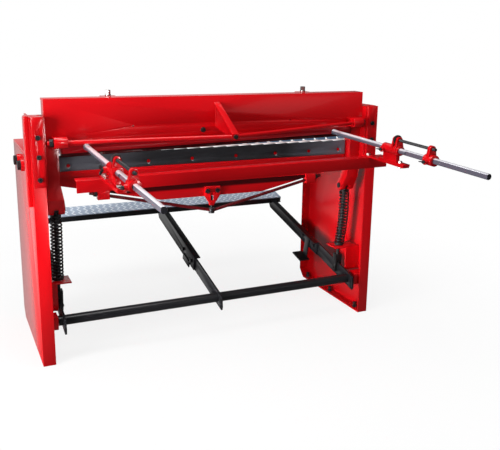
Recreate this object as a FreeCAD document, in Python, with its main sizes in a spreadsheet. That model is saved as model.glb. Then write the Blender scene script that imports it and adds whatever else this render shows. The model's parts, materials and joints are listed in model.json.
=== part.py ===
import FreeCAD, Part
import os
import re
import Sketcher

# Foot-operated guillotine shear for sheet metal, in millimetres.
# The origin is on the floor, at the middle of the floor bolts. +Z is up, +Y points to the rear, where the
# back gauge is, and the operator stands at the treadle on the -Y side. +X is the operator's right.

# The driving sizes, in millimetres and degrees; turns and counts are plain numbers. A size that starts with an
# equals sign follows the sizes above it, so that the whole shear stays together when its width changes.
SIZES = {
    # Legs: two folded channels with a column that guides the blade beam
    "frame_width": 1550,
    "leg_depth": 600,
    "leg_sheet": 6,
    "leg_flange": 50,
    "leg_toe": 40,
    "toe_turn": 45,
    "column_height": 1010,
    "column_depth": 150,
    "column_round": 10,
    "gib_bottom": 739,
    "floor_hole_inset": 30,
    "anchor_spacing": 400,
    "anchor_hole": 14,
    "level_spacing": 240,
    "level_screw": 12,
    "level_screw_height": 30,
    "level_head": 11,
    # Slide ways, gib plates and outer guide bars of the columns
    "way_inset": 58,
    "way_front": 200,
    "way_bottom": 742,
    "way_top_gap": 2,
    "gib_thick": 12,
    "gib_screw": 12,
    "gib_screw_head": 19,
    "gib_screw_head_height": 8,
    "gib_screw_depth": 18,
    "gib_screw_low": 770,
    "gib_screw_middle": 857,
    "gib_screw_high": 932,
    "guide_bar_thick": 15,
    "guide_bar_front": 208,
    "guide_bar_back": 270,
    "guide_bar_bottom": 660,
    # Table, bed and lower blade
    "table_top": 846,
    "table_plate": 12,
    "apron_thick": 10,
    "apron_height": 70,
    "table_rib_width": 24,
    "table_rib_length": 220,
    "table_rib_height": 74,
    "table_bolt": 20,
    "table_bolt_head": 20,
    "table_bolt_head_height": 13,
    "table_bolt_pitch": 130,
    "table_bolt_drop": 56,
    "table_boss": 50,
    "shear_y": 214,
    "blade_end_gap": 115,
    "blade_length": "=frame_width - 2 * blade_end_gap",
    "lower_blade_thick": 20,
    "lower_blade_height": 65,
    "blade_hole_end": 36,
    "blade_hole_outer_pitch": 157,
    "blade_hole_middle_pitch": 172,
    "blade_hole_inner_pitch": 193,
    "blade_hole_fourth": "=blade_length / 2 - blade_hole_end",
    "blade_hole_third": "=blade_hole_fourth - blade_hole_outer_pitch",
    "blade_hole_second": "=blade_hole_third - blade_hole_middle_pitch",
    "blade_hole_first": "=blade_hole_second - blade_hole_inner_pitch",
    "blade_hole_drop": 43,
    "blade_screw": 10,
    "blade_screw_head": 20,
    "blade_screw_head_height": 5,
    "seat_width": 22,
    "seat_thick": 24,
    "bed_wall": 16,
    "bed_web": 8,
    "bed_web_step": 2,
    "bed_low": 628,
    "bed_flat": 480,
    "bed_end_lap": 4,
    "bed_rise_span": "=blade_length + 2 * bed_end_lap",
    "bed_rise": 92,
    # Truss rod under the bed
    "bed_rod": 14,
    "bed_rod_low": 560,
    "bed_rod_end_rise": 117,
    "bed_rod_nut_span": 1048,
    "bed_rod_tail": 18,
    "bed_lug_inner": 461,
    "bed_lug_length": 49,
    "bed_lug_depth": 30,
    "bed_lug_height": 46,
    "bed_nut": 24,
    "bed_nut_length": 12,
    "bracket_x": 6,
    "bracket_half_width": 37,
    "bracket_thick": 8,
    "bracket_top": 672,
    "bracket_shoulder": 630,
    "bracket_tip": 585,
    "bracket_tip_half_width": 7,
    "bracket_window_low": 607,
    "bracket_window_high": 640,
    "bracket_bolt": 12,
    "bracket_bolt_head": 20,
    "bracket_bolt_head_height": 8,
    "bracket_bolt_pitch": 46,
    "bracket_bolt_z": 652,
    "adjuster": 10,
    "adjuster_gap": 2,
    "saddle": 26,
    "saddle_height": 22,
    # Blade beam
    "beam_end_gap": 59,
    "beam_width": "=frame_width - 2 * beam_end_gap",
    "beam_back": 258,
    "beam_depth": 70,
    "beam_top": 1072,
    "beam_sheet": 8,
    "rake": 1.25,
    "blade_lift": 8.5,
    "blade_gap": 0.3,
    "upper_blade_end": 5,
    "upper_blade_length": "=blade_length - 2 * upper_blade_end",
    "upper_blade_thick": 15,
    "upper_blade_height": 60,
    "blade_rail_thick": 20.7,
    "blade_rail_bottom": 4,
    "blade_rail_height": 106,
    "ledge_bottom": 20,
    "ledge_height": 32,
    "ledge_depth": 22,
    "web_lift": 72,
    "web_hole": 8,
    "web_hole_right": 368,
    "web_hole_left": -341,
    "web_hole_z": 957,
    "upper_screw_pitch": 162,
    "upper_screw": 8,
    "upper_screw_head": 14,
    "upper_screw_head_height": 5,
    "upper_screw_lift": 12.5,
    "lug_width": 60,
    "lug_reach": 38,
    "lug_thick": 10,
    # Arms at the beam's ends, with the bosses that the links hang on
    "arm_front": 199,
    "arm_back": 255,
    "arm_width": 51,
    "arm_taper_top": 740,
    "arm_taper": 18,
    "boss": 47,
    "boss_z": 627,
    "boss_length": 60,
    "swivel_pin": 24,
    "running_fit": 0.05,
    "tongue_length": 230,
    "tongue_bottom": 760,
    "tongue_depth": 20,
    "tongue_front": 212,
    "tongue_thick": 22,
    # Truss rod behind the beam
    "beam_rod": 16,
    "beam_rod_lift": 70,
    "beam_rod_end_back": 90,
    "beam_rod_bow": 146,
    "truss_boss": 45,
    "truss_boss_length": 50,
    "truss_boss_inset": 52,
    "truss_boss_x": "=beam_width / 2 - truss_boss_inset",
    "truss_foot_height": 36,
    "truss_nut": 30,
    "truss_nut_length": 14,
    "truss_rod_tail": 8,
    "gusset_x": 8,
    "gusset_thick": 8,
    "gusset_top": 1044,
    "gusset_foot": 938,
    "gusset_tip_half": 12,
    "gusset_flange": 26,
    "gusset_flange_thick": 6,
    "tip_nut": 20,
    "tip_nut_length": 10,
    "web_bolt_x": 68,
    "web_bolt_z": 930,
    "web_bolt_head": 18,
    # Hold-down in front of the beam
    "hold_down_length": "=upper_blade_length",
    "hold_down_front": 165,
    "hold_down_thick": 12,
    "hold_down_gap": 6,
    "hold_down_foot": 45,
    "hold_down_foot_thick": 14,
    "hold_down_height": 100,
    "hold_down_boss": 28,
    "hold_down_boss_height": 12,
    "finger_pitch": 60,
    "finger_notch": 22,
    "finger_notch_depth": 18,
    "hold_bolt": 12,
    "hold_bolt_x": 447,
    "hold_bolt_collar": 24,
    "hold_bolt_collar_height": 6,
    "hold_bolt_head": 11,
    "hold_bolt_head_height": 17,
    "hold_spring_wire": 3,
    "hold_spring_width": 24,
    "hold_spring_turns": 7,
    "seat_clearance": 0.3,
    # Treadle
    "pivot_y": 258,
    "pivot_z": 172,
    "pivot_block": 56,
    "pivot_block_length": 64,
    "pivot_block_inner": "=frame_width / 2 - leg_sheet - pivot_block_length",
    "pivot_journal": 24,
    "treadle_tube": 42,
    "tube_wall": 4,
    "tube_end_gap": 4,
    "tube_half_length": "=pivot_block_inner - tube_end_gap",
    "arm_slope": 12.9,
    "link_inset": 24,
    "link_x": "=pivot_block_inner - link_inset",
    "treadle_arm_depth": 64,
    "treadle_arm_thick": 8,
    "treadle_arm_tail": 58,
    "rear_arm_reach": 480,
    "front_arm_start": 292,
    "front_arm_reach": 905,
    "angle_thick": 6,
    "angle_flange": 30,
    "front_arm_cut": 45,
    "arm_bolt": 12,
    "arm_bolt_first": 330,
    "arm_bolt_second": 449,
    "arm_bolt_head": 20,
    "arm_bolt_head_height": 8,
    "link_reach": 106.5,
    "clevis_pin": 12,
    "clevis_slot_length": 17,
    "stop_strap_reach": 372,
    "stop_strap_width": 40,
    "stop_strap_drop": 58,
    "stop_strap_thick": 6,
    "stop_pad_length": 90,
    "stop_pad_width": 56,
    "stop_pad_thick": 8,
    "middle_stop_drop": 15,
    "tread_end_gap": 67,
    "tread_half_width": "=frame_width / 2 - tread_end_gap",
    "tread_depth": 100,
    "tread_reach": 814,
    "tread_low": 20,
    "tread_band": 30,
    "tread_bar": 5,
    "tread_plate_thick": 4,
    # Links and return springs
    "link_rod": 18,
    "clevis_width": 34,
    "clevis_depth": 28,
    "clevis_slot": 9,
    "clevis_slot_top": 42,
    "clevis_top": 74,
    "clevis_foot": 16,
    "clevis_pin_length": 42,
    "spring_plate_top": 318,
    "spring_plate_thick": 6,
    "spring_plate_lap": 48,
    "spring_plate_inner": "=link_x - spring_plate_lap",
    "spring_plate_front": 130,
    "spring_plate_back": 218,
    "spring_plate_hole": 31,
    "spring_web_gap": 11,
    "spring_web_inner": "=link_x + spring_web_gap",
    "spring_web_bottom": 200,
    "spring_seat": 44,
    "spring_seat_thick": 5,
    "spring_seat_drop": 25.5,
    "spring_wire": 5,
    "spring_width": 42,
    "spring_turns": 27,
    # Back gauge
    "gauge_rod": 22,
    "gauge_rod_x": 561,
    "gauge_rod_length": 989,
    "gauge_root_z": 890,
    "gauge_tilt": 0.6,
    "gauge_droop": 1.25,
    "gauge_flat_start": 545,
    "gauge_flat_depth": 3,
    "gauge_stud": 12,
    "gauge_stud_length": 30,
    "gauge_root_gap": 0.6,
    "rod_collar": 26,
    "rod_collar_length": 6,
    "slider_start": 380,
    "slider_length": 167,
    "slider_sleeve_start": 400,
    "slider_sleeve_length": 105,
    "slider_sleeve": 38,
    "slider_web": 16,
    "slider_foot_width": 32,
    "slider_foot_thick": 8,
    "slider_foot_drop": 54,
    "ear_thick": 10,
    "ear_width": 26,
    "ear_base": 42,
    "wheel_y": 480,
    "wheel_lift": 41,
    "wheel_width": 38,
    "wheel_thick": 12,
    "wheel_side_gap": 0.3,
    "spindle": 12,
    "spindle_reach": 250,
    "collar_start": 666,
    "collar_length": 46,
    "collar_width": 42,
    "collar_ear_thick": 16,
    "screw_lug": 22,
    "screw_lug_reach": 30,
    "wing_screw": 8,
    "wing_screw_drop": 5,
    "wing_hub": 14,
    "wing_hub_length": 8,
    "wing_span": 36,
    "wing_length": 14,
    "wing_thick": 5,
    "slider_screw_y": 415,
    "strap_start": 268,
    "strap_end": 38,
    "strap_width": 30,
    "strap_thick": 6,
    "gauge_bar_length": 1300,
    "gauge_bar_shift": 14,
    "gauge_angle": 45,
    "gauge_angle_thick": 5,
    "gauge_bolt": 10,
    "gauge_bolt_head": 17,
    "gauge_bolt_head_height": 7,
    "bar_bolt_y": 286,
    "foot_bolt_y": 507,
    "hole_clearance": 0.2,
}
document = FreeCAD.newDocument("guillotine_shear")
sheet = document.addObject("Spreadsheet::Sheet", "sizes")
for row, (name, number) in enumerate(SIZES.items(), 1):
    sheet.set("A%d" % row, name)
    sheet.set("B%d" % row, str(number))
    sheet.setAlias("B%d" % row, name)
nodes = []
document.recompute()

known = re.compile(r"(?<![.\w])(%s)(?!\w)" % "|".join(sorted(SIZES, key=len, reverse=True)))

# Formulas that several pieces share
SIDES = (("right", 1), ("left", -1))
OUTER = "(frame_width / 2)"
PLATE = "(frame_width / 2 - leg_sheet)"
FLANGE = "(frame_width / 2 - leg_flange)"
BACK = "(leg_depth / 2)"
FRONT = "(-leg_depth / 2)"
COLUMN_FRONT = "(leg_depth / 2 - column_depth)"
TABLE_UNDER = "(table_top - table_plate)"
HOLE_X = "(frame_width / 2 - floor_hole_inset)"
WAY_FACE = "(frame_width / 2 - way_inset)"
BED_BACK = "(shear_y - lower_blade_thick)"
WEB_BACK = "(shear_y - lower_blade_thick + bed_web_step)"
BED_ROD_Y = "(shear_y - lower_blade_thick + bed_web_step - bed_web / 4)"
BED_SLOPE = "atan(2 * bed_rod_end_rise / bed_rod_nut_span)"
BED_LUG_FOOT = "(bed_rod_low + 2 * bed_rod_end_rise / bed_rod_nut_span * bed_lug_inner - bed_lug_height / 4)"
EDGE = "(table_top + blade_lift)"
LEDGE_BACK = "(upper_blade_thick + blade_gap + blade_rail_thick + ledge_depth)"
RAIL_BACK = "(upper_blade_thick + blade_gap + blade_rail_thick)"
RAIL_FRONT = "(upper_blade_thick + blade_gap)"
BEAM_HALF = "(beam_width / 2)"
BEAM_FRONT = "(beam_back - beam_depth)"
WEB_FRONT = "(beam_back - beam_sheet)"
TRUSS_TURN = "atan(beam_rod_bow / truss_boss_x)"
HOLD_BOLT_Y = "(hold_down_front + hold_down_thick / 2)"
HOLD_LOW = "(table_top + hold_down_gap)"
HOLD_TOP = "(table_top + hold_down_gap + hold_down_height)"
LUG_TOP = "(beam_top - beam_sheet)"
ARM_TOP = "(treadle_arm_depth / 2 + angle_thick)"
LINK_PIN_Y = "(pivot_y - link_reach * cos(arm_slope))"
LINK_PIN_Z = "(pivot_z + link_reach * sin(arm_slope))"
LINK_LEAN = "atan((arm_front - %s) / (boss_z - %s))" % (LINK_PIN_Y, LINK_PIN_Z)
LINK_LENGTH = "sqrt(pow(arm_front - %s; 2) + pow(boss_z - %s; 2))" % (LINK_PIN_Y, LINK_PIN_Z)
PLATE_REACH = "((boss_z - spring_plate_top) / cos(%s))" % LINK_LEAN
PLATE_HOLE_Y = "(arm_front - (boss_z - spring_plate_top) * tan(%s))" % LINK_LEAN
TABLE_BOLT_Z = "(table_top - table_bolt_drop)"
SEAT_TOP = "(table_top - lower_blade_height)"
SEAT_UNDER = "(table_top - lower_blade_height - seat_thick)"
BLADE_HOLE_Z = "(table_top - blade_hole_drop)"
STRAP_TOP = "(-slider_foot_drop)"
STRAP_UNDER = "(-slider_foot_drop - strap_thick)"

# A hexagon turned by half the angle between its corners lies on a flat
FLAT_DOWN = "rotation(vector(0; 0; 1); 360 / 12)"

# Frames in which tilted groups of pieces are drawn
RAKED = "placement(vector(0; shear_y; %s); rotation(vector(0; 1; 0); rake))" % EDGE
TREADLE = "placement(vector(0; pivot_y; pivot_z); rotation(vector(1; 0; 0); -arm_slope))"
TREAD = TREADLE + " * placement(vector(0; -tread_reach; tread_low); rotation(vector(1; 0; 0); 0))"
GAUGE = (
    "placement(vector(0; shear_y + %s; gauge_root_z); rotation(vector(0; 1; 0); gauge_tilt))"
    " * placement(vector(0; 0; 0); rotation(vector(1; 0; 0); -gauge_droop))" % LEDGE_BACK
)


def link_frame(side):
    """The frame of one link: its origin on the boss, its -Z toward the treadle arm."""
    return "placement(vector(%d * link_x; arm_front; boss_z); rotation(vector(1; 0; 0); -%s))" % (side, LINK_LEAN)


def formula(text):
    """Point every size's name in a formula at the sheet."""
    return known.sub(r"sizes.\1", str(text))


def bind(thing, field, text):
    """Bind one property of an object to a formula of the sheet's sizes."""
    thing.setExpression(field, formula(text))


def span(low, high):
    """The length between two formulas."""
    return "%s - (%s)" % (high, low)


def across(side, inner, outer):
    """The X range of a piece on one side, from its inner and its outer face."""
    if side > 0:
        return inner, outer
    return "-(%s)" % outer, "-(%s)" % inner


def both_ways(half):
    """A range that lies evenly about zero."""
    return "-(%s)" % half, half


def about(middle, half):
    """A range that lies evenly about a middle."""
    return "%s - (%s)" % (middle, half), "%s + (%s)" % (middle, half)


def add(kind, name):
    """A new object of the document, whose Label is its name."""
    thing = document.addObject(kind, name)
    thing.Label = name
    return thing


def box(name, x, y, z):
    """A block between pairs of formulas along X, Y and Z."""
    piece = add("Part::Box", name)
    for letter, field, pair in (("x", "Length", x), ("y", "Width", y), ("z", "Height", z)):
        bind(piece, field, span(*pair))
        bind(piece, "Placement.Base." + letter, pair[0])
    return piece


TURNS = {
    "X": FreeCAD.Rotation(FreeCAD.Vector(0, 1, 0), 90),
    "Y": FreeCAD.Rotation(FreeCAD.Vector(1, 0, 0), -90),
    "Z": FreeCAD.Rotation(),
}


def stand(piece, axis, at):
    """Stand a piece that is drawn along Z on a point, along another axis."""
    piece.Placement = FreeCAD.Placement(FreeCAD.Vector(), TURNS[axis])
    for letter, text in zip("xyz", at):
        bind(piece, "Placement.Base." + letter, text)


def rod(name, axis, at, width, length):
    """A round bar from a point along an axis, from its diameter and length."""
    piece = add("Part::Cylinder", name)
    bind(piece, "Radius", "(%s) / 2" % width)
    bind(piece, "Height", length)
    stand(piece, axis, at)
    return piece


def hexagon(name, axis, at, radius, length):
    """A six-sided head or nut from a point along an axis."""
    piece = add("Part::Prism", name)
    piece.Polygon = 6
    bind(piece, "Circumradius", radius)
    bind(piece, "Height", length)
    stand(piece, axis, at)
    return piece


def fuse(name, pieces):
    """Pieces welded or cast into one."""
    whole = add("Part::MultiFuse", name)
    whole.Shapes = pieces
    return whole


def cut(name, base, tools):
    """A piece with material taken away."""
    whole = add("Part::Cut", name)
    whole.Base = base
    whole.Tool = tools[0] if len(tools) == 1 else fuse(name + "_tool", tools)
    return whole


def node(name, pieces, frame=None):
    """One named part of the shear, as a group of separate solids in its own frame."""
    whole = add("Part::Compound", name)
    whole.Links = pieces
    if frame:
        bind(whole, "Placement", frame)
    nodes.append(whole)
    return whole


def body_node(body, frame=None):
    """One named part of the shear that is a single body."""
    if frame:
        bind(body, "Placement", frame)
    nodes.append(body)
    return body


def draw(body, name, plane, offset):
    """A new sketch of a body, parallel to one of its origin planes."""
    sketch = body.newObject("Sketcher::SketchObject", name)
    base = [item for item in body.Origin.OriginFeatures if item.Role == plane + "_Plane"][0]
    sketch.AttachmentSupport = [(base, "")]
    sketch.MapMode = "FlatFace"
    bind(sketch, "AttachmentOffset.Base.z", offset)
    return sketch


def pin_point(sketch, geometry, end, across_text, up_text):
    """Hold one point of a sketch at a pair of formulas."""
    place = sketch.Geometry[geometry]
    spot = place.Center if end == 3 else place.StartPoint
    for kind, text, now in (("DistanceX", across_text, spot.x), ("DistanceY", up_text, spot.y)):
        index = sketch.addConstraint(Sketcher.Constraint(kind, -1, 1, geometry, end, now))
        bind(sketch, "Constraints[%d]" % index, text)


def value(text):
    """What a formula comes to with the sheet's present sizes."""
    return float(sheet.evalExpression(formula(text)))


def pad(body, name, plane, corners, low, high, cutting=False):
    """Pad or pocket a closed outline of a body between two formulas along the plane's axis."""
    backward = plane == "XZ"
    sketch = draw(body, name + "_sketch", plane, "-(%s)" % high if backward else low)
    points = [FreeCAD.Vector(value(a), value(b), 0) for a, b in corners]
    for index, point in enumerate(points):
        sketch.addGeometry(Part.LineSegment(point, points[(index + 1) % len(points)]), False)
    for index in range(len(points)):
        sketch.addConstraint(Sketcher.Constraint("Coincident", index, 2, (index + 1) % len(points), 1))
    for index, (a, b) in enumerate(corners):
        pin_point(sketch, index, 1, a, b)
    feature = body.newObject("PartDesign::Pocket" if cutting else "PartDesign::Pad", name)
    feature.Profile = sketch
    bind(feature, "Length", span(low, high))
    feature.Reversed = cutting
    return feature


def rounds(body, name, plane, holes, low, high, cutting=True):
    """Drill round holes, or raise bosses, each a pair of formulas and a diameter, between two formulas."""
    backward = plane == "XZ"
    sketch = draw(body, name + "_sketch", plane, "-(%s)" % high if backward else low)
    for index, (a, b, width) in enumerate(holes):
        middle = FreeCAD.Vector(value(a), value(b), 0)
        radius = value("(%s) / 2" % width)
        sketch.addGeometry(Part.Circle(middle, FreeCAD.Vector(0, 0, 1), radius), False)
        pin_point(sketch, index, 3, a, b)
        ring = sketch.addConstraint(Sketcher.Constraint("Radius", index, radius))
        bind(sketch, "Constraints[%d]" % ring, "(%s) / 2" % width)
    feature = body.newObject("PartDesign::Pocket" if cutting else "PartDesign::Pad", name)
    feature.Profile = sketch
    bind(feature, "Length", span(low, high))
    feature.Reversed = cutting
    return feature


def round_off(body, name, axis, at, radius):
    """Round the edges that run along an axis through a point, given as formulas of the other two."""
    document.recompute()
    last = body.Tip
    spots = [value(text) for text in at]
    wanted = []
    for index, edge in enumerate(last.Shape.Edges):
        ends = [vertex.Point for vertex in edge.Vertexes]
        flat = [[point[k] for k in range(3) if k != "XYZ".index(axis)] for point in ends]
        if len(ends) == 2 and all(max(abs(p[0] - spots[0]), abs(p[1] - spots[1])) < 0.01 for p in flat):
            wanted.append("Edge%d" % (index + 1))
    fillet = body.newObject("PartDesign::Fillet", name)
    fillet.Base = (last, wanted)
    bind(fillet, "Radius", radius)
    return fillet


def mirrored(side, corners):
    """An outline whose first coordinate is X, on one side of the shear."""
    return [("%d * (%s)" % (side, a), b) for a, b in corners]


def corners_of(x, y):
    """The four corners of an upright rectangle between two pairs of formulas."""
    return [(x[0], y[0]), (x[1], y[0]), (x[1], y[1]), (x[0], y[1])]


def screw(name, axis, at, width, length, head, head_height):
    """A cap screw whose head starts at a point and whose shank runs the other way."""
    letter = "XYZ".index(axis)
    low_shank = list(at)
    low_shank[letter] = "%s - (%s)" % (at[letter], length)
    top = rod(name + "_head", axis, at, head, head_height)
    shank = rod(name + "_shank", axis, low_shank, width, length)
    return fuse(name, [top, shank])


def ear(name, x, y):
    """A tapered ear that stands on a sleeve and narrows toward its spindle hole; y is its pair of faces."""
    piece = add("Part::Wedge", name)
    for field, text in (
        ("Xmin", "-ear_base / 2"), ("Xmax", "ear_base / 2"),
        ("X2min", "-ear_width / 2"), ("X2max", "ear_width / 2"),
        ("Ymin", "0"), ("Ymax", "wheel_lift"),
        ("Zmin", "-(%s)" % y[1]), ("Zmax", "-(%s)" % y[0]),
        ("Z2min", "-(%s)" % y[1]), ("Z2max", "-(%s)" % y[0]),
    ):
        bind(piece, field, text)
    piece.Placement = FreeCAD.Placement(FreeCAD.Vector(), FreeCAD.Rotation(FreeCAD.Vector(1, 0, 0), 90))
    bind(piece, "Placement.Base.x", x)
    return piece


def coil(name, width, wire, turns, height):
    """A round wire wound into a spring that stands on the origin, along Z."""
    middle = "((%s) - (%s)) / 2" % (width, wire)
    line = add("Part::Helix", name + "_line")
    bind(line, "Radius", middle)
    bind(line, "Height", height)
    bind(line, "Pitch", "(%s) / (%s)" % (height, turns))
    ring = add("Part::Circle", name + "_ring")
    bind(ring, "Radius", "(%s) / 2" % wire)
    ring.Placement = FreeCAD.Placement(FreeCAD.Vector(), FreeCAD.Rotation(FreeCAD.Vector(1, 0, 0), 90))
    bind(ring, "Placement.Base.x", middle)
    wound = add("Part::Sweep", name)
    wound.Sections = [ring]
    wound.Spine = (line, ["Edge1"])
    wound.Solid = True
    wound.Frenet = True
    return wound


# Legs
def leg(name, side):
    """One folded channel with its column, floor flange and the two bosses for the table bolts."""
    body = add("PartDesign::Body", name)
    outline = [
        (BACK, "0"),
        (BACK, "column_height"),
        (COLUMN_FRONT, "column_height"),
        (COLUMN_FRONT, TABLE_UNDER),
        (FRONT, TABLE_UNDER),
        (FRONT, "leg_toe"),
        (FRONT + " + leg_toe", "0"),
    ]
    pad(body, name + "_side", "YZ", outline, *across(side, PLATE, OUTER))
    inner_toe = "leg_toe + leg_sheet * tan(toe_turn / 2)"
    strip = [
        (BACK, "gib_bottom"),
        (BACK, "0"),
        (FRONT + " + leg_toe", "0"),
        (FRONT, "leg_toe"),
        (FRONT, TABLE_UNDER),
        (COLUMN_FRONT, TABLE_UNDER),
        (COLUMN_FRONT, TABLE_UNDER + " - leg_sheet"),
        (FRONT + " + leg_sheet", TABLE_UNDER + " - leg_sheet"),
        (FRONT + " + leg_sheet", inner_toe),
        (FRONT + " + " + inner_toe, "leg_sheet"),
        (BACK + " - leg_sheet", "leg_sheet"),
        (BACK + " - leg_sheet", "gib_bottom"),
    ]
    pad(body, name + "_flanges", "YZ", strip, *across(side, FLANGE, PLATE))
    hole_x = "%d * %s" % (side, HOLE_X)
    holes = [(hole_x, "%s * anchor_spacing / 2" % turn, "anchor_hole") for turn in ("-1", "1")]
    holes += [
        (hole_x, "%s * level_spacing" % turn, "level_screw + hole_clearance") for turn in ("-1", "0", "1")
    ]
    rounds(body, name + "_floor_holes", "XY", holes, "0", "leg_sheet")
    bosses = [("%s * table_bolt_pitch / 2" % turn, TABLE_BOLT_Z, "table_boss") for turn in ("-1", "1")]
    rounds(
        body, name + "_bosses", "YZ", bosses, *across(side, OUTER, OUTER + " + guide_bar_thick"), cutting=False
    )
    bores = [(a, b, "table_bolt + hole_clearance") for a, b, width in bosses]
    rounds(body, name + "_bores", "YZ", bores, *across(side, PLATE, OUTER + " + guide_bar_thick"))
    return body_node(body)


for word, side in SIDES:
    leg("leg_" + word, side)


# Table with the ribs that its bolts draw against the legs
def table():
    """The table plate, notched for the columns, and a rib beside each leg."""
    body = add("PartDesign::Body", "table")
    plate = [
        ("-" + OUTER, FRONT),
        (OUTER, FRONT),
        (OUTER, COLUMN_FRONT),
        (PLATE, COLUMN_FRONT),
        (PLATE, BED_BACK),
        ("-" + PLATE, BED_BACK),
        ("-" + PLATE, COLUMN_FRONT),
        ("-" + OUTER, COLUMN_FRONT),
    ]
    pad(body, "table_plate_pad", "XY", plate, TABLE_UNDER, "table_top")
    for word, side in SIDES:
        under_flange = TABLE_UNDER + " - leg_sheet"
        rib = [
            (FLANGE + " - table_plate", TABLE_UNDER),
            (FLANGE, TABLE_UNDER),
            (FLANGE, under_flange),
            (PLATE, under_flange),
            (PLATE, TABLE_UNDER + " - table_rib_height"),
            (PLATE + " - table_rib_width", TABLE_UNDER + " - table_rib_height"),
            (PLATE + " - table_rib_width", under_flange + " - table_plate"),
            (FLANGE + " - table_plate", under_flange + " - table_plate"),
        ]
        pad(body, "table_rib_" + word, "XZ", mirrored(side, rib), *both_ways("table_rib_length / 2"))
        places = ["%d * table_bolt_pitch / 2" % turn for turn in (-1, 1)]
        bores = [(y, TABLE_BOLT_Z, "table_bolt + hole_clearance") for y in places]
        rounds(body, "table_bore_" + word, "YZ", bores, *across(side, PLATE + " - table_rib_width / 2", PLATE))
    return body_node(body)


table()
node("table_apron", [
    box(
        "apron_plate",
        both_ways(FLANGE),
        (FRONT, FRONT + " + apron_thick"),
        (TABLE_UNDER + " - apron_height", TABLE_UNDER),
    )
])


# Bed under the table: the wall that carries the lower blade, its seat, the tapered web and the truss lugs
BLADE_HOLES = [
    "%d * %s" % (turn, name)
    for turn in (-1, 1)
    for name in ("blade_hole_first", "blade_hole_second", "blade_hole_third", "blade_hole_fourth")
]


def bed_rod_half(name, turn, width):
    """One straight half of the truss rod under the bed, from its low middle to its threaded end."""
    half = add("Part::Cylinder", name)
    bind(half, "Radius", "(%s) / 2" % width)
    bind(half, "Height", "(bed_rod_nut_span / 2 + bed_rod_tail) / cos(%s)" % BED_SLOPE)
    place = "placement(vector(0; %s; bed_rod_low); rotation(vector(0; 1; 0); %d * (90 deg - %s)))"
    bind(half, "Placement", place % (BED_ROD_Y, turn, BED_SLOPE))
    return half


def bed_rod_shape(name, width):
    """The whole bent rod under the bed, or the room that it needs."""
    bend = add("Part::Sphere", name + "_bend")
    bind(bend, "Radius", "(%s) / 2" % width)
    for letter, text in zip("xyz", ("0", BED_ROD_Y, "bed_rod_low")):
        bind(bend, "Placement.Base." + letter, text)
    halves = [bed_rod_half(name + "_" + word, side, width) for word, side in SIDES]
    return fuse(name, halves + [bend])


def bed_beam():
    """The welded bed, with the truss lugs drilled for the rod and the wall drilled for the blade screws."""
    body = add("PartDesign::Body", "bed_beam_body")
    wall = corners_of((BED_BACK + " - bed_wall", BED_BACK), (SEAT_UNDER, TABLE_UNDER))
    pad(body, "bed_wall_pad", "YZ", wall, *both_ways(PLATE))
    seat = corners_of((BED_BACK, BED_BACK + " + seat_width"), (SEAT_UNDER, SEAT_TOP))
    pad(body, "bed_seat_pad", "YZ", seat, *both_ways("blade_length / 2"))
    web = [
        ("-" + PLATE, SEAT_UNDER),
        ("-" + PLATE, "bed_low + bed_rise"),
        ("-bed_rise_span / 2", "bed_low + bed_rise"),
        ("-bed_flat / 2", "bed_low"),
        ("bed_flat / 2", "bed_low"),
        ("bed_rise_span / 2", "bed_low + bed_rise"),
        (PLATE, "bed_low + bed_rise"),
        (PLATE, SEAT_UNDER),
    ]
    pad(body, "bed_web_pad", "XZ", web, WEB_BACK + " - bed_web", WEB_BACK)
    for word, side in SIDES:
        lug_x = ("bed_lug_inner", "bed_lug_inner + bed_lug_length")
        lug = corners_of(lug_x, (BED_LUG_FOOT, BED_LUG_FOOT + " + bed_lug_height"))
        pad(body, "bed_lug_" + word, "XZ", mirrored(side, lug), *about(BED_ROD_Y, "bed_lug_depth / 2"))
    tools = [bed_rod_shape("bed_rod_room", "bed_rod + 2 * hole_clearance")]
    for index, x in enumerate(BLADE_HOLES):
        at = (x, BED_BACK + " - bed_wall", BLADE_HOLE_Z)
        tools.append(rod("bed_screw_hole_%d" % index, "Y", at, "blade_screw + hole_clearance", "bed_wall"))
    return node("bed_beam", [cut("bed_beam_drilled", body, tools)])


bed_beam()


# Lower blade and its countersunk screws
def lower_blade():
    """The lower blade, bored for its screws from the rear face."""
    bar = box("lower_blade_bar", both_ways("blade_length / 2"), (BED_BACK, "shear_y"), (SEAT_TOP, "table_top"))
    tools = []
    for index, x in enumerate(BLADE_HOLES):
        bore = (x, BED_BACK, BLADE_HOLE_Z)
        sink = (x, "shear_y - blade_screw_head_height", BLADE_HOLE_Z)
        width = "blade_screw_head + hole_clearance"
        tools.append(
            rod("blade_bore_%d" % index, "Y", bore, "blade_screw + hole_clearance", "lower_blade_thick")
        )
        tools.append(rod("blade_sink_%d" % index, "Y", sink, width, "blade_screw_head_height"))
    return node("lower_blade", [cut("lower_blade_drilled", bar, tools)])


lower_blade()
node("lower_blade_screws", [
    screw(
        "blade_screw_%d" % index,
        "Y",
        (x, "shear_y - blade_screw_head_height", BLADE_HOLE_Z),
        "blade_screw",
        "lower_blade_thick + bed_wall - blade_screw_head_height",
        "blade_screw_head",
        "blade_screw_head_height - seat_clearance",
    )
    for index, x in enumerate(BLADE_HOLES)
])

# Truss rod under the bed, the bracket in its middle and what tightens it
node("bed_truss_rod", [bed_rod_shape("bed_rod_bar", "bed_rod")])


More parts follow.
